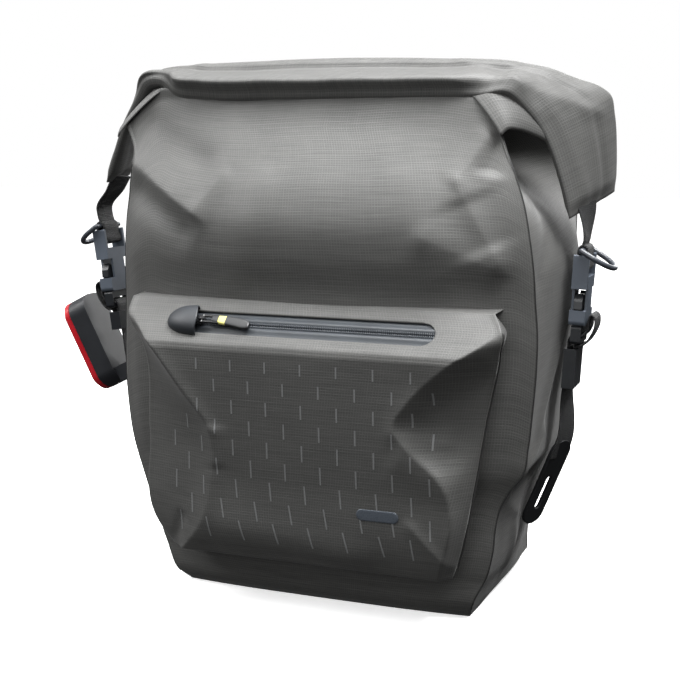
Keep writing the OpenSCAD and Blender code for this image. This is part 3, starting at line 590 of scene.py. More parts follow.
# The zip's window is cut out along the sloping top, with round ends
ZIP_LEAN = math.atan2(POCKET_TOP_Z - RIDGE_Z, POCKET_TOP_Y - RIDGE_Y)
zip_centre = np.array([0, (RIDGE_Y + POCKET_TOP_Y) / 2, (RIDGE_Z + POCKET_TOP_Z) / 2])
SLOT_LOW, SLOT_HIGH, SLOT_HALF = -100.0, 92.0, 9.6


def at_zip(x, up, out):
    """A point on the sloping top: x along the zip, up the slope, and out of it."""
    x, up, out = np.broadcast_arrays(np.asarray(x, float), up, out)
    return np.stack([x, zip_centre[1] + up * math.cos(ZIP_LEAN) - out * math.sin(ZIP_LEAN),
                     zip_centre[2] + up * math.sin(ZIP_LEAN) + out * math.cos(ZIP_LEAN)], axis=-1)


def stadium(low, high, half, count=20):
    """The outline of a bar with round ends, as x and height."""
    turn = np.linspace(-math.pi / 2, math.pi / 2, count)
    right = [(high - half + half * math.cos(a), half * math.sin(a)) for a in turn]
    return np.array(right + [(low + half - half * math.cos(a), -half * math.sin(a)) for a in turn])


outline = stadium(SLOT_LOW, SLOT_HIGH, SLOT_HALF)
cutter = cloth_piece("zip_window", [at_zip(outline[:, 0], outline[:, 1], d) for d in (-9, 9)],
                     weld_dark, inwards=0, closed=True)
close_ends(cutter, len(outline))
cut = pocket.modifiers.new("window", "BOOLEAN")
cut.operation = "DIFFERENCE"
cut.object = cutter
cut.solver = "EXACT"


def bake(made):
    """Turns a piece's modifiers into its plain mesh."""
    seen_now = made.evaluated_get(bpy.context.evaluated_depsgraph_get())
    mesh = bpy.data.meshes.new_from_object(seen_now, preserve_all_data_layers=True,
                                           depsgraph=bpy.context.evaluated_depsgraph_get())
    made.modifiers.clear()
    made.data = mesh
    return made


bake(pocket)
bpy.data.objects.remove(cutter)
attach(pocket, "bag")
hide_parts("pocket_shell")
pocket_weld = tube("pocket_weld", face[8:-10, -1] + [0.7, 1.2, 0], 0.6, weld_dark)
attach(pocket_weld, "bag")


# ---- Printed dashes ----
# Rows of short dashes are printed on the pocket in reflective ink, longer towards the base.
def geometry_tree(name, inputs):
    """An empty Geometry Nodes tree with a mesh going in and out, and named inputs."""
    tree = bpy.data.node_groups.new(name, "GeometryNodeTree")
    tree.interface.new_socket("Geometry", in_out="INPUT", socket_type="NodeSocketGeometry")
    for word, kind in inputs:
        tree.interface.new_socket(word, in_out="INPUT", socket_type=f"NodeSocket{kind}")
    tree.interface.new_socket("Geometry", in_out="OUTPUT", socket_type="NodeSocketGeometry")
    return tree, add(tree, "NodeGroupInput")


def grow(made, tree, values):
    """Runs a Geometry Nodes tree on an object and keeps the result as its plain mesh."""
    live = made.modifiers.new("grow", "NODES")
    live.node_group = tree
    for item in tree.interface.items_tree:
        if item.in_out == "INPUT" and item.name in values:
            live[item.identifier] = values[item.name]
    return bake(made)


def point_cloud(name, places, **attributes):
    """A mesh of bare points in millimetres, with a number or vector on each."""
    mesh = bpy.data.meshes.new(name)
    mesh.from_pydata([tuple(np.asarray(p) * MM) for p in places], [], [])
    for word, values in attributes.items():
        values = np.array(values, float)
        kind, field = ("FLOAT", "value") if values.ndim == 1 else ("FLOAT_VECTOR", "vector")
        mesh.attributes.new(word, kind, "POINT").data.foreach_set(field, values.ravel())
    return put(name, mesh)


def reflective(name, low, high, beads, roughness, metallic):
    """Glass beads in a clear binder: a soft grey with a fine sparkle. The beads are drawn larger
    than the real ones, which are under 0.1 mm."""
    made, tree = new_material(name)
    cells = add(tree, "ShaderNodeTexVoronoi", {"Scale": beads},
                Vector=add(tree, "ShaderNodeTexCoord").outputs["Object"])
    colour = add(tree, "ShaderNodeMix", {"data_type": "RGBA", 6: linear(low), 7: linear(high)},
                 _0=cells.outputs["Distance"])
    shader = add(tree, "ShaderNodeBsdfPrincipled", {"Roughness": roughness, "Metallic": metallic},
                 Base_Color=colour.outputs[2])
    finish_material(tree, shader)
    return made


ink = reflective("reflective_ink", "#8c8d8d", "#68696a", 2600.0, 0.42, 0.15)
DASH_W = 1.2
DASH_ROWS, DASH_TOP_Z, DASH_ROW_STEP = 9, 179, 14.6
DASH_PITCH = 26
tree, given = geometry_tree("printed_dashes",
                            [("Surface", "Object"), ("Width", "Float"), ("Ink", "Material")])
surface = add(tree, "GeometryNodeObjectInfo", Object=given.outputs["Surface"])
strip = add(tree, "GeometryNodeMeshGrid", {"Size Y": 1.0, "Vertices X": 2, "Vertices Y": 9},
            Size_X=given.outputs["Width"])
upright = add(tree, "GeometryNodeTransform", {"Rotation": (math.pi / 2, 0, 0)},
              Geometry=strip.outputs["Mesh"])
reach = add(tree, "GeometryNodeInputNamedAttribute", {"data_type": "FLOAT", "Name": "reach"})
lean = add(tree, "GeometryNodeInputNamedAttribute", {"data_type": "FLOAT", "Name": "lean"})
sized = add(tree, "ShaderNodeCombineXYZ", {"X": 1.0, "Y": 1.0}, Z=reach.outputs[0])
turned = add(tree, "ShaderNodeCombineXYZ", Y=lean.outputs[0])
placed = add(tree, "GeometryNodeInstanceOnPoints", Points=given.outputs["Geometry"],
             Instance=upright.outputs[0], Rotation=turned.outputs[0], Scale=sized.outputs[0])
real = add(tree, "GeometryNodeRealizeInstances", Geometry=placed.outputs[0])
hit = add(tree, "GeometryNodeRaycast", {"Ray Direction": (0, 1, 0), "Ray Length": 0.2},
          Target_Geometry=surface.outputs["Geometry"])
lifted = add(tree, "ShaderNodeVectorMath", {"operation": "ADD", 1: (0, -0.00016, 0)},
             _0=hit.outputs["Hit Position"])
laid = add(tree, "GeometryNodeSetPosition", Geometry=real.outputs[0], Position=lifted.outputs[0],
           Selection=hit.outputs["Is Hit"])
inked = add(tree, "GeometryNodeSetMaterial", Geometry=laid.outputs[0], Material=given.outputs["Ink"])
add(tree, "NodeGroupOutput", Geometry=inked.outputs[0])

dash_at, dash_reach, dash_lean = [], [], []
for row in range(DASH_ROWS):
    z = DASH_TOP_Z - DASH_ROW_STEP * row
    for column in range(-5, 6):
        x = 2 + DASH_PITCH * column + DASH_PITCH / 2 * (row % 2)
        first = pocket_left(z) + 16 + 0.25 * (z - 40) * (row < 3)
        if x < first or x > min(pocket_right(z) - 14, 96):
            continue
        low = ease((112 - z) / 60)
        dash_at.append((x + 5 * low * (x < 60), -150, z - 2 * low))
        dash_reach.append((8.0 + 0.9 * row) * MM)
        dash_lean.append(-math.radians(15) * low * ease((x + 110) / 60) * ease((110 - x) / 60))
dashes = point_cloud("printed_dashes", dash_at, reach=dash_reach, lean=dash_lean)
grow(dashes, tree, {"Surface": pocket, "Width": DASH_W * MM, "Ink": ink})
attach(dashes, "bag")

# A plain bar of thicker reflective film stands low on the right of the pocket
BAR_X, BAR_Z, BAR_LENGTH, BAR_HALF = 56, 82, 30, 4
bar = stadium(-BAR_LENGTH / 2, BAR_LENGTH / 2, BAR_HALF, 16)
film = reflective("reflective_film", "#5d646d", "#464c54", 1800.0, 0.35, 0.2)
bar_rings = []
for scale in (0.0, 0.25, 0.5, 0.75, 0.94, 1.0, 1.0):
    x = BAR_X + bar[:, 0] * scale
    z = BAR_Z + bar[:, 1] * scale
    bar_rings.append(np.stack([x, pocket_y(x, z) - (0.45 if scale < 0.99 else 0.3), z], axis=-1))
bar_rings[-1][:, 1] += 0.9
badge = cloth_piece("reflective_bar", bar_rings, film, inwards=0, closed=True)
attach(badge, "bag")
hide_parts("reflective_patch")


# ---- Zip ----
# A water-resistant coil zip: two tapes with a smooth polyurethane face, a fine nylon coil
# between them, and a rubber hood at the left end that the slider parks under.
def moulded(name, low, high, roughness=0.45, grain=900.0, relief=0.00005, **sockets):
    """A moulded or coated surface with fine grain in its colour, roughness and relief."""
    made, tree = new_material(name)
    place = add(tree, "ShaderNodeTexCoord")
    speckle = add(tree, "ShaderNodeTexNoise", {"Scale": grain, "Detail": 3.0}, Vector=place.outputs["Object"])
    cloud = add(tree, "ShaderNodeTexNoise", {"Scale": 60.0, "Detail": 3.0}, Vector=place.outputs["Object"])
    colour = add(tree, "ShaderNodeMix", {"data_type": "RGBA", 6: linear(low), 7: linear(high)},
                 _0=cloud.outputs["Fac"])
    gloss = add(tree, "ShaderNodeMapRange", {"To Min": roughness - 0.08, "To Max": roughness + 0.1},
                Value=speckle.outputs["Fac"])
    bump = add(tree, "ShaderNodeBump", {"Strength": 0.4, "Distance": relief}, Height=speckle.outputs["Fac"])
    shader = add(tree, "ShaderNodeBsdfPrincipled", {k.replace("_", " "): v for k, v in sockets.items()},
                 Base_Color=colour.outputs[2], Roughness=gloss.outputs[0], Normal=bump.outputs[0])
    finish_material(tree, shader)
    return made


tape_face = moulded("polyurethane_zip_tape", "#2c2f33", "#3d4247", roughness=0.42)
profile = np.array([(11.5, -1.7), (9.0, -1.5), (6.4, -1.35), (5.6, -0.8), (4.2, -0.6), (2.6, -0.75),
                    (2.3, -1.3), (0.3, -1.5), (0.3, -2.2), (11.5, -2.3)])
for word, sign in (("upper", 1), ("lower", -1)):
    rows = [at_zip(x, sign * profile[:, 0], profile[:, 1])
            for x in np.linspace(SLOT_LOW - 4, SLOT_HIGH + 4, 60)]
    tape = cloth_piece(f"zip_tape_face_{word}", rows, tape_face, inwards=0, closed=True)
    close_ends(tape, len(profile))
    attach(tape, "bag")
    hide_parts(f"zip_tape_{word}")

coil_nylon = moulded("nylon_coil", "#23262a", "#43484e", roughness=0.35)
tree, given = geometry_tree("zip_coil", [("Lean", "Vector"), ("Size", "Vector"), ("Finish", "Material")])
bead = add(tree, "GeometryNodeMeshUVSphere", {"Segments": 8, "Rings": 5, "Radius": 0.5})
placed = add(tree, "GeometryNodeInstanceOnPoints", Points=given.outputs["Geometry"],
             Instance=bead.outputs["Mesh"], Rotation=given.outputs["Lean"], Scale=given.outputs["Size"])
real = add(tree, "GeometryNodeRealizeInstances", Geometry=placed.outputs[0])
smooth = add(tree, "GeometryNodeSetShadeSmooth", Geometry=real.outputs[0])
faced = add(tree, "GeometryNodeSetMaterial", Geometry=smooth.outputs[0], Material=given.outputs["Finish"])
add(tree, "NodeGroupOutput", Geometry=faced.outputs[0])
COIL_PITCH = 1.35
for word, sign in (("upper", 1), ("lower", -1)):
    xs = np.arange(SLOT_LOW, SLOT_HIGH, COIL_PITCH) + (0 if sign > 0 else COIL_PITCH / 2)
    coil = point_cloud(f"zip_coil_{word}", at_zip(xs, sign * 1.25, -0.95))
    grow(coil, tree, {"Lean": (ZIP_LEAN, 0, 0), "Size": (0.95 * MM, 2.5 * MM, 1.3 * MM),
                      "Finish": coil_nylon})
    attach(coil, "bag")
    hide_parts(f"zip_teeth_{word}")

rubber = moulded("moulded_rubber", "#1d1f22", "#303439", roughness=0.5)
HOOD_LOW, HOOD_HIGH = -105.0, -81.5
HOOD_HALF, HOOD_H = 12.2, 9.4
angle = np.linspace(0, math.pi, 33)
hood_rings = []
for inner in (0.0, 1.0):
    rings = []
    for t in np.linspace(0, 1, 26):
        grown = math.sqrt(max(1 - (1 - t) ** 2.4, 0)) + 0.001
        half, height = HOOD_HALF * grown - 1.1 * inner, HOOD_H * grown - 1.0 * inner
        # Its mouth is cut at a slant and bulges towards the slider
        mouth = 2.6 * t * np.sin(angle) ** 2 - 2.2 * t * np.cos(angle)
        x = mix(HOOD_LOW, HOOD_HIGH, t) + inner * 0.6 * (1 - t) + mouth
        rings.append(at_zip(x, half * np.cos(angle), np.maximum(height * np.sin(angle) ** 0.8, 0) - 0.4))
    hood_rings.append(rings)
hood = cloth_piece("zip_hood", hood_rings[0] + hood_rings[1][::-1], rubber, inwards=0)
reshape(hood.data, lambda edit: bmesh.ops.holes_fill(
    edit, edges=[e for e in edit.edges if e.is_boundary], sides=0))
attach(hood, "bag")
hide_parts("zip_garage")

# The slider is enamelled zinc. Its puller carries a moulded tab with a bright mark for finding it.
enamel = moulded("black_enamel", "#141516", "#232426", roughness=0.28, grain=1500.0, Coat_Weight=0.4)
tab_rubber, tab_tree = new_material("overmoulded_tab")
tab_place = add(tab_tree, "ShaderNodeTexCoord")
tab_x = add(tab_tree, "ShaderNodeSeparateXYZ", Vector=tab_place.outputs["Object"])
MARK_X, MARK_HALF = -61.0, 2.6
off_mark = add(tab_tree, "ShaderNodeMath", {"operation": "SUBTRACT", 1: MARK_X * MM}, _0=tab_x.outputs["X"])
from_mark = add(tab_tree, "ShaderNodeMath", {"operation": "ABSOLUTE"}, _0=off_mark.outputs[0])
in_mark = add(tab_tree, "ShaderNodeMapRange", {"From Min": MARK_HALF * MM,
              "From Max": (MARK_HALF + 0.3) * MM, "To Min": 1.0, "To Max": 0.0}, Value=from_mark.outputs[0])
tab_noise = add(tab_tree, "ShaderNodeTexNoise", {"Scale": 900.0}, Vector=tab_place.outputs["Object"])
tab_dark = add(tab_tree, "ShaderNodeMix", {"data_type": "RGBA", 6: linear("#131415"), 7: linear("#2a2c2f")},
               _0=tab_noise.outputs["Fac"])
tab_colour = add(tab_tree, "ShaderNodeMix", {"data_type": "RGBA", 7: linear("#d6d07a")},
                 _0=in_mark.outputs[0], _6=tab_dark.outputs[2])
finish_material(tab_tree, add(tab_tree, "ShaderNodeBsdfPrincipled", {"Roughness": 0.4},
                              Base_Color=tab_colour.outputs[2]))


TAB_SIDES = 20


def plate_ring(at, wide, thick, lead, other, sides=TAB_SIDES, power=0.55):
    """A ring of points round a flat bar with rounded edges, across two directions."""
    ring = []
    for a in np.linspace(0, 2 * math.pi, sides, endpoint=False):
        c, s = math.cos(a), math.sin(a)
        ring.append(at + lead * wide / 2 * abs(c) ** power * np.sign(c)
                    + other * thick / 2 * abs(s) ** power * np.sign(s))
    return ring


zip_up = at_zip(0, 1, 0) - at_zip(0, 0, 0)
zip_out = at_zip(0, 0, 1) - at_zip(0, 0, 0)
tab_rings = []
for t in np.linspace(0, 1, 26):
    wide = 5.0 + 3.2 * math.sin(math.pi * min(t * 1.25, 1) * 0.5) - 4.2 * max(t - 0.8, 0) ** 2 * 25
    thick = 3.4 - 0.9 * t
    at = at_zip(mix(-69, -40, t), -3.2 * t * t, mix(3.4, 2.6, t))
    tab_rings.append(plate_ring(at, wide, thick, zip_up, zip_out))
pull_tab = cloth_piece("zip_tab_cover", tab_rings, tab_rubber, inwards=0, closed=True)
close_ends(pull_tab, TAB_SIDES)
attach(pull_tab, "zip_puller")
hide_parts("zip_pull_tab")


# ---- Straps ----
# Black nylon webbing joins each end of the roll to a D-ring and its side-release buckle, and runs
# on through a keeper to a slotted tab low on the side.
CHAIN_Y = -8.0
CHAIN_AT = {-1: (211.0, 264.0, 8.0), 1: (172.0, 257.0, 3.0)}
WEB_W, WEB_T = 22.0, 1.8
STRAP_SIDES = 24


def at_chain(side, x, z):
    """A point of a side's buckle line: x outwards and z up from the D-ring's bar."""
    out, up, tilt = CHAIN_AT[side]
    tilt = math.radians(tilt)
    return np.array([side * (out + x * math.cos(tilt) + z * math.sin(tilt)), CHAIN_Y,
                     up - x * math.sin(tilt) + z * math.cos(tilt)])


def woven_turns(tree, split, turn, axes):
    """Sine waves along two of a place's axes, one for each way that the yarns run."""
    made = []
    for axis in axes:
        scaled = add(tree, "ShaderNodeMath", {"operation": "MULTIPLY", 1: turn}, _0=split.outputs[axis])
        made.append(add(tree, "ShaderNodeMath", {"operation": "SINE"}, _0=scaled.outputs[0]))
    return made


def woven_webbing():
    """Nylon webbing: plump ribs across the strap, with a darker line where the yarns cross. Its
    UV map is in metres. Yarns of 0.5 mm are drawn at about 1.3 mm so that they show."""
    made, tree = new_material("nylon_webbing")
    uv = add(tree, "ShaderNodeUVMap", {"uv_map": "cloth"})
    split = add(tree, "ShaderNodeSeparateXYZ", Vector=uv.outputs[0])
    turn = 2 * math.pi / (1.3 * MM)
    rib, yarn = woven_turns(tree, split, turn, ("Y", "X"))
    weave = add(tree, "ShaderNodeMath", {"operation": "MULTIPLY"}, _0=rib.outputs[0], _1=yarn.outputs[0])
    fuzz = add(tree, "ShaderNodeTexNoise", {"Scale": 1200.0, "Detail": 2.0}, Vector=uv.outputs[0])
    height = add(tree, "ShaderNodeMath", {"operation": "MULTIPLY_ADD", 1: 0.35}, _0=rib.outputs[0],
                 _2=weave.outputs[0])
    fade = add(tree, "ShaderNodeMapRange", {"From Min": -1.3, "From Max": 1.3}, Value=height.outputs[0])
    rough = add(tree, "ShaderNodeMath", {"operation": "MULTIPLY"}, _0=fade.outputs[0], _1=fuzz.outputs["Fac"])
    colour = add(tree, "ShaderNodeMix", {"data_type": "RGBA", 6: linear("#08090a"), 7: linear("#202226")},
                 _0=rough.outputs[0])
    bump = add(tree, "ShaderNodeBump", {"Strength": 0.8, "Distance": 0.0003}, Height=height.outputs[0])
    shader = add(tree, "ShaderNodeBsdfPrincipled", {"Roughness": 0.6, "Sheen Weight": 0.05},
                 Base_Color=colour.outputs[2], Normal=bump.outputs[0])
    finish_material(tree, shader)
    return made


webbing = woven_webbing()


def turned_flat(run, degrees):
    """The direction across a strap that runs along run: towards Y, turned by an angle about Z."""
    turn = math.radians(degrees)
    flat = np.array([math.sin(turn), math.cos(turn), 0.0])
    return unit(flat - run * (flat @ run))


def strap(name, points, body, node, thick=WEB_T, twist=(0, 0), count=90, wide=WEB_W, settled=1.0):
    """A length of webbing along a line, its width towards Y. It turns from one angle in degrees to
    another over the settled part of its length."""
    line = along(points, count)
    run = unit(np.gradient(line, axis=0))
    rings = []
    for k in range(count):
        flat = turned_flat(run[k], mix(twist[0], twist[1], ease(k / (count - 1) / settled)))
        rings.append(plate_ring(line[k], wide, thick, flat, np.cross(run[k], flat), STRAP_SIDES, 0.4))
    made = cloth_piece(name, rings, webbing, inwards=0, closed=True)
    close_ends(made, STRAP_SIDES)
    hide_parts(node)
    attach(made, body)
    return made


ARM_END = {-1: (200.9, 295.7, 60.0), 1: (171.3, 289.3, 78.0)}
BAR_R = 3.1
KEEPER_TOP = -69.0
SLOT_MID = -59.7
WEB_IN = -4.8
KEEPER_H = {-1: 14.0, 1: 28.0}
ANCHOR_TOP, ANCHOR_LOW = (158.0, 118.0), (128.4, 42.0)
LIGHT_AT, LIGHT_LEAN = (222.0, 169.0), math.radians(27)
FACE_TURN = {-1: 10, 1: 32}
TAIL_ROUTE = [(0.8, SLOT_MID), (4.7, SLOT_MID + 0.5), (7.2, -55), (8, -46.5), (9.2, -44.2), (11.2, -45.4),
              (12.4, -51), (10.4, -58), (6.6, -64.4), (3.6, -66.7), (0.2, -67.4), (-0.6, -69.5),
              (-0.6, KEEPER_TOP - 13)]


def round_bar(side, first, last):
    """Five points part of the way round the D-ring's bar, between two angles."""
    return [at_chain(side, BAR_R * math.cos(a), BAR_R * math.sin(a)) for a in np.linspace(first, last, 5)]


for side, word in ((-1, "left"), (1, "right")):
    end_x, end_z, turn = ARM_END[side]
    fall = np.array([side * math.cos(math.radians(turn)), 0, -math.sin(math.radians(turn))])
    hang = [np.array([side * end_x, CHAIN_Y, end_z]) + d * fall for d in (-9, -3, 3)]
    loop = round_bar(side, math.pi * 0.5, 0) + [at_chain(side, BAR_R, z) for z in (-5, -13)]
    far = [at_chain(side, -BAR_R, z) for z in (-13, -5)] + round_bar(side, math.pi, math.pi * 0.55)
    under = [at_chain(side, x, -13.6) for x in (1.2, -1.2)]
    top = [at_chain(side, 0.2, z) for z in (14, 7)]
    strap(f"roll_webbing_{word}", hang + top + loop + under + far, "bag", f"roll_strap_{word}",
          thick=2.0, count=150, twist=(FACE_TURN[side], 0), settled=0.45)
    line = [at_chain(side, -0.4, SLOT_MID), at_chain(side, -3.4, SLOT_MID - 0.2),
            at_chain(side, WEB_IN, SLOT_MID - 2.4), at_chain(side, WEB_IN, KEEPER_TOP),
            at_chain(side, WEB_IN, KEEPER_TOP - KEEPER_H[side] - 3)]
    if side < 0:
        # The left strap passes behind the light
        c, s, over, down = math.cos(LIGHT_LEAN), math.sin(LIGHT_LEAN), -20.0, -32.0
        line.append((-(LIGHT_AT[0] + over * c + down * s), CHAIN_Y, LIGHT_AT[1] - over * s + down * c))
    line += [(side * (ANCHOR_TOP[0] + 3), CHAIN_Y, ANCHOR_TOP[1] + 2),
             (side * (ANCHOR_TOP[0] - 1.6), CHAIN_Y, ANCHOR_TOP[1] - 12)]
    lower = strap(f"side_webbing_{word}", line, "bag", f"side_strap_{word}", thick=1.4,
                  twist=(0, side * 24), wide=WEB_W - 1)
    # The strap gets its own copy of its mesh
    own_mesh(lower)
    tail = [at_chain(side, x, z) for x, z in TAIL_ROUTE]
    strap(f"tail_webbing_{word}", tail, f"plug_{word}", f"strap_tail_{word}", thick=1.7)

# The slotted tab is cut from a rubber-like sheet and turned a little to face forwards
tab_sheet = moulded("black_tab_sheet", "#101113", "#1f2123", roughness=0.42)
TAB_LOW, TAB_HALF, SLOT_FROM, SLOT_TO, SLOT_R, TAB_TURN = 15.0, 9.6, 27.0, 55.0, 3.2, 30
for side, word in ((-1, "left"), (1, "right")):
    length = math.dist(ANCHOR_TOP, ANCHOR_LOW)
    shape = bpy.data.curves.new(f"tab_outline_{word}", "CURVE")
    shape.dimensions = "2D"
    shape.fill_mode = "BOTH"
    shape.extrude = 0.9 * MM
    shape.bevel_depth = 0.5 * MM
    shape.bevel_resolution = 2
    for low, high, half in ((TAB_LOW, length + 2, TAB_HALF), (SLOT_FROM, SLOT_TO, SLOT_R)):
        edge = stadium(low, high, half, 14)
        spline = shape.splines.new("POLY")
        spline.points.add(len(edge) - 1)
        for point, (a, b) in zip(spline.points, edge):
            point.co = (a * MM, b * MM, 0, 1)
        spline.use_cyclic_u = True
    made = put(f"anchor_tab_{word}", shape)
    seen_now = made.evaluated_get(bpy.context.evaluated_depsgraph_get())
    mesh = bpy.data.meshes.new_from_object(seen_now)
    bpy.data.objects.remove(made)
    lean_in = np.array([side * (ANCHOR_TOP[0] - ANCHOR_LOW[0]), 0, ANCHOR_TOP[1] - ANCHOR_LOW[1]]) / length
    flat = turned_flat(lean_in, side * TAB_TURN)
    normal = np.cross(lean_in, flat)
    start = np.array([side * (ANCHOR_LOW[0] + 2.5), CHAIN_Y, ANCHOR_LOW[1]])
    for vertex in mesh.vertices:
        a, b, c = np.array(vertex.co) / MM
        vertex.co = (start + a * lean_in + b * flat + c * normal) * MM
    reshape(mesh, lambda edit: bmesh.ops.remove_doubles(edit, verts=edit.verts, dist=1e-6))
    mesh.materials.clear()
    mesh.materials.append(tab_sheet)
    tab = put(f"anchor_tab_{word}", mesh)
    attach(tab, "bag")
    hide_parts(f"strap_anchor_{word}")


# ---- Moulded and metal fittings ----
# The buckles, rings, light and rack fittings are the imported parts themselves. Most are injection
# moulded: acetal buckles, glass-filled nylon rails and hooks, an ABS light with a clear red lens.
# Acetal comes out of its mould with an even, slightly waxy shine
socket_acetal = moulded("grey_acetal", "#4d545e", "#69717c", roughness=0.36)
ring_acetal = moulded("dark_grey_acetal", "#33373d", "#4a4e55", roughness=0.32, Coat_Weight=0.2)
black_acetal = moulded("black_acetal", "#15171a", "#26292d", roughness=0.38)
# Glass fibres at the surface make filled nylon duller and coarser
filled_nylon = moulded("glass_filled_nylon", "#151618", "#2a2c2f", roughness=0.52, grain=500.0, relief=0.0001)
insert_nylon = moulded("soft_insert_plastic", "#3a3d42", "#4d5157", roughness=0.55)
light_abs = moulded("black_abs", "#191a1d", "#2f3135", roughness=0.4)
# The lens is glossy, and light enters it a little way
red_lens = moulded("red_polycarbonate", "#a5121d", "#cf2733", roughness=0.22, grain=300.0, Coat_Weight=0.7,
                   Subsurface_Weight=0.15)
battery_wrap = moulded("printed_film_wrap", "#2f5f8f", "#3f76ad", roughness=0.35)
board_green = moulded("circuit_board", "#235339", "#2f6b46", roughness=0.4)
sheet_plastic = moulded("polyethylene_sheet", "#26282b", "#383b3f", roughness=0.5)


def brushed_steel():
    """Zinc-plated steel: fine turned lines and a slightly uneven satin shine."""
    made, tree = new_material("zinc_plated_steel")
    place = add(tree, "ShaderNodeTexCoord")
    lines = add(tree, "ShaderNodeTexNoise", {"Scale": 1.0, "Detail": 3.0},
                Vector=add(tree, "ShaderNodeMapping", {"Scale": (1800, 60, 1800)},
                           Vector=place.outputs["Object"]).outputs[0])
    colour = add(tree, "ShaderNodeMix", {"data_type": "RGBA", 6: linear("#85888c"), 7: linear("#b4b6b9")},
                 _0=lines.outputs["Fac"])
    gloss = add(tree, "ShaderNodeMapRange", {"To Min": 0.22, "To Max": 0.42}, Value=lines.outputs["Fac"])
    finish_material(tree, add(tree, "ShaderNodeBsdfPrincipled", {"Metallic": 1.0},
                              Base_Color=colour.outputs[2], Roughness=gloss.outputs[0]))
    return made


def handle_weave():
    """Doubled webbing of the carrying handle, woven on Object coordinates."""
    made, tree = new_material("handle_webbing")
    place = add(tree, "ShaderNodeTexCoord")
    split = add(tree, "ShaderNodeSeparateXYZ", Vector=place.outputs["Object"])
    turn = 2 * math.pi / (1.5 * MM)
    waves_x, waves_z = woven_turns(tree, split, turn, ("X", "Z"))
    weave = add(tree, "ShaderNodeMath", {"operation": "MULTIPLY"},
                _0=waves_x.outputs[0], _1=waves_z.outputs[0])
    fade = add(tree, "ShaderNodeMapRange", {"From Min": -1.0, "From Max": 1.0}, Value=weave.outputs[0])
    colour = add(tree, "ShaderNodeMix", {"data_type": "RGBA", 6: linear("#111214"), 7: linear("#34363a")},
                 _0=fade.outputs[0])
    bump = add(tree, "ShaderNodeBump", {"Strength": 0.7, "Distance": 0.0003}, Height=weave.outputs[0])
    finish_material(tree, add(tree, "ShaderNodeBsdfPrincipled", {"Roughness": 0.62, "Sheen Weight": 0.2},
                              Base_Color=colour.outputs[2], Normal=bump.outputs[0]))
    return made


steel = brushed_steel()
finishes = {
    socket_acetal: ["buckle_socket_left", "buckle_socket_right"],
    ring_acetal: ["d_ring_left", "d_ring_right"],
    black_acetal: ["strap_keeper_left", "strap_keeper_right", "buckle_plug_left", "buckle_plug_right",
                   "buckle_prongs_left", "buckle_prongs_right"],
    rubber: ["light_seal", "light_button"],
    light_abs: ["light_housing", "light_clip"],
    red_lens: ["light_lens"],
    battery_wrap: ["light_battery"],
    board_green: ["light_board"],
    filled_nylon: ["mount_rail", "hook_left", "hook_right", "latch_left", "latch_right", "lower_rail",
                   "stay_hook", "handle_mounts"],
    insert_nylon: ["hook_insert_left", "hook_insert_right"],
    steel: ["latch_pin_left", "latch_pin_right", "rail_screws", "rail_nuts", "stay_hook_bolt"],
    sheet_plastic: ["stiffener_board", "roll_stiffener"],
    enamel: ["zip_slider", "zip_puller"],
    handle_weave(): ["carry_handle"],
}
for material, names in finishes.items():
    for name in names:
        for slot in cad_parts[name].material_slots:
            slot.material = material


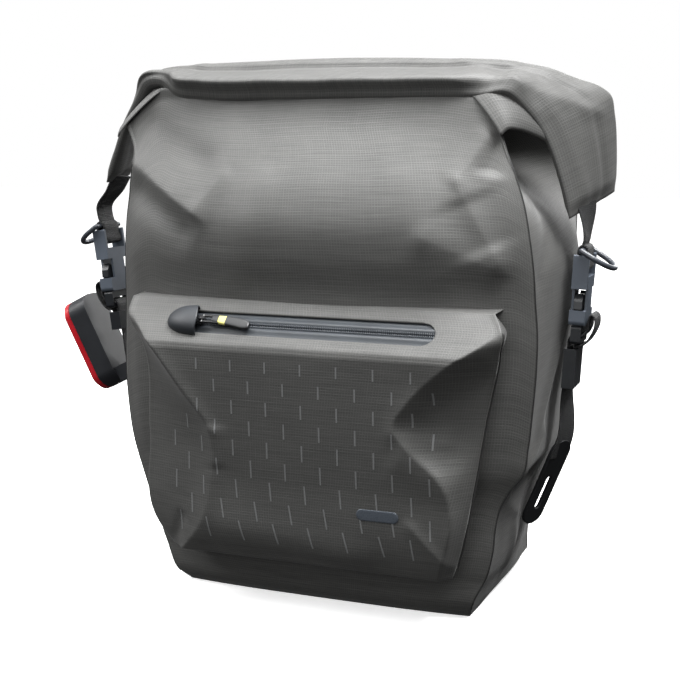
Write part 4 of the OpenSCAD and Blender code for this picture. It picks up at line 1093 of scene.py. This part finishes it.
# ---- Studio ----
# A pale floor and a white surround. Two soft lights from above shape the roll and the right side,
# and weaker ones fill the left, the front and the back.
floor_mesh = bpy.data.meshes.new("floor")
floor_mesh.from_pydata([(-6, -6, 0), (6, -6, 0), (6, 6, 0), (-6, 6, 0)], [], [(0, 1, 2, 3)])
floor = put("floor", floor_mesh)
floor_paint, floor_tree = new_material("white_paint")
floor_speckle = add(floor_tree, "ShaderNodeTexNoise", {"Scale": 60.0},
                    Vector=add(floor_tree, "ShaderNodeTexCoord").outputs["Object"])
floor_tone = add(floor_tree, "ShaderNodeMix", {"data_type": "RGBA", 6: linear("#fafafa"),
                 7: linear("#ffffff")}, _0=floor_speckle.outputs["Fac"])
finish_material(floor_tree, add(floor_tree, "ShaderNodeBsdfPrincipled",
                                {"Roughness": 0.9, "Emission Color": (1, 1, 1, 1), "Emission Strength": 0.62},
                                Base_Color=floor_tone.outputs[2]))
floor_mesh.materials.append(floor_paint)
# The floor shows, but throws no light back up at the bag
floor.visible_diffuse = False
floor.visible_glossy = False

world = bpy.data.worlds.new("studio")
bpy.context.scene.world = world
world.use_nodes = True
world.node_tree.nodes.clear()
seen = add(world.node_tree, "ShaderNodeLightPath")
heading = add(world.node_tree, "ShaderNodeSeparateXYZ",
              Vector=add(world.node_tree, "ShaderNodeTexCoord").outputs["Generated"])
dome = add(world.node_tree, "ShaderNodeMapRange", {"From Min": -0.05, "From Max": 0.9, "To Min": 0.04,
           "To Max": 0.8}, Value=heading.outputs["Z"])
glow = add(world.node_tree, "ShaderNodeMix", {"data_type": "FLOAT", 3: 1.0},
           _0=seen.outputs["Is Camera Ray"], _2=dome.outputs[0])
sky = add(world.node_tree, "ShaderNodeBackground", {"Color": (1, 1, 1, 1)}, Strength=glow.outputs[0])
add(world.node_tree, "ShaderNodeOutputWorld", Surface=sky.outputs[0])


def soft_light(name, at, towards, size, watts):
    lamp = bpy.data.lights.new(name, "AREA")
    lamp.size = size
    lamp.energy = watts
    made = put(name, lamp)
    made.location = at
    made.rotation_euler = (Vector(towards) - Vector(at)).to_track_quat("-Z", "Y").to_euler()


soft_light("overhead", (0.0, -0.08, 1.7), (0, 0, 0.2), 1.0, 41)
soft_light("right_top", (0.8, -0.12, 1.7), (0, 0, 0.3), 0.6, 42)
soft_light("left_rim", (-1.3, -0.6, 1.3), (0, 0, 0.2), 0.8, 20)
soft_light("front_fill", (0.2, -2.4, 0.7), (0, 0, 0.15), 1.0, 13)
soft_light("back_fill", (0.2, 2.2, 1.0), (0, 0, 0.2), 1.4, 22)

camera_data = bpy.data.cameras.new("camera")
camera_data.lens = 66.18
camera = put("camera", camera_data)
camera.location = (0.3233, -0.8788, 0.3347)
camera.rotation_euler = (math.radians(90 - 9.27), 0, math.radians(21))
bpy.context.scene.camera = camera
bpy.context.scene.view_settings.view_transform = "Standard"
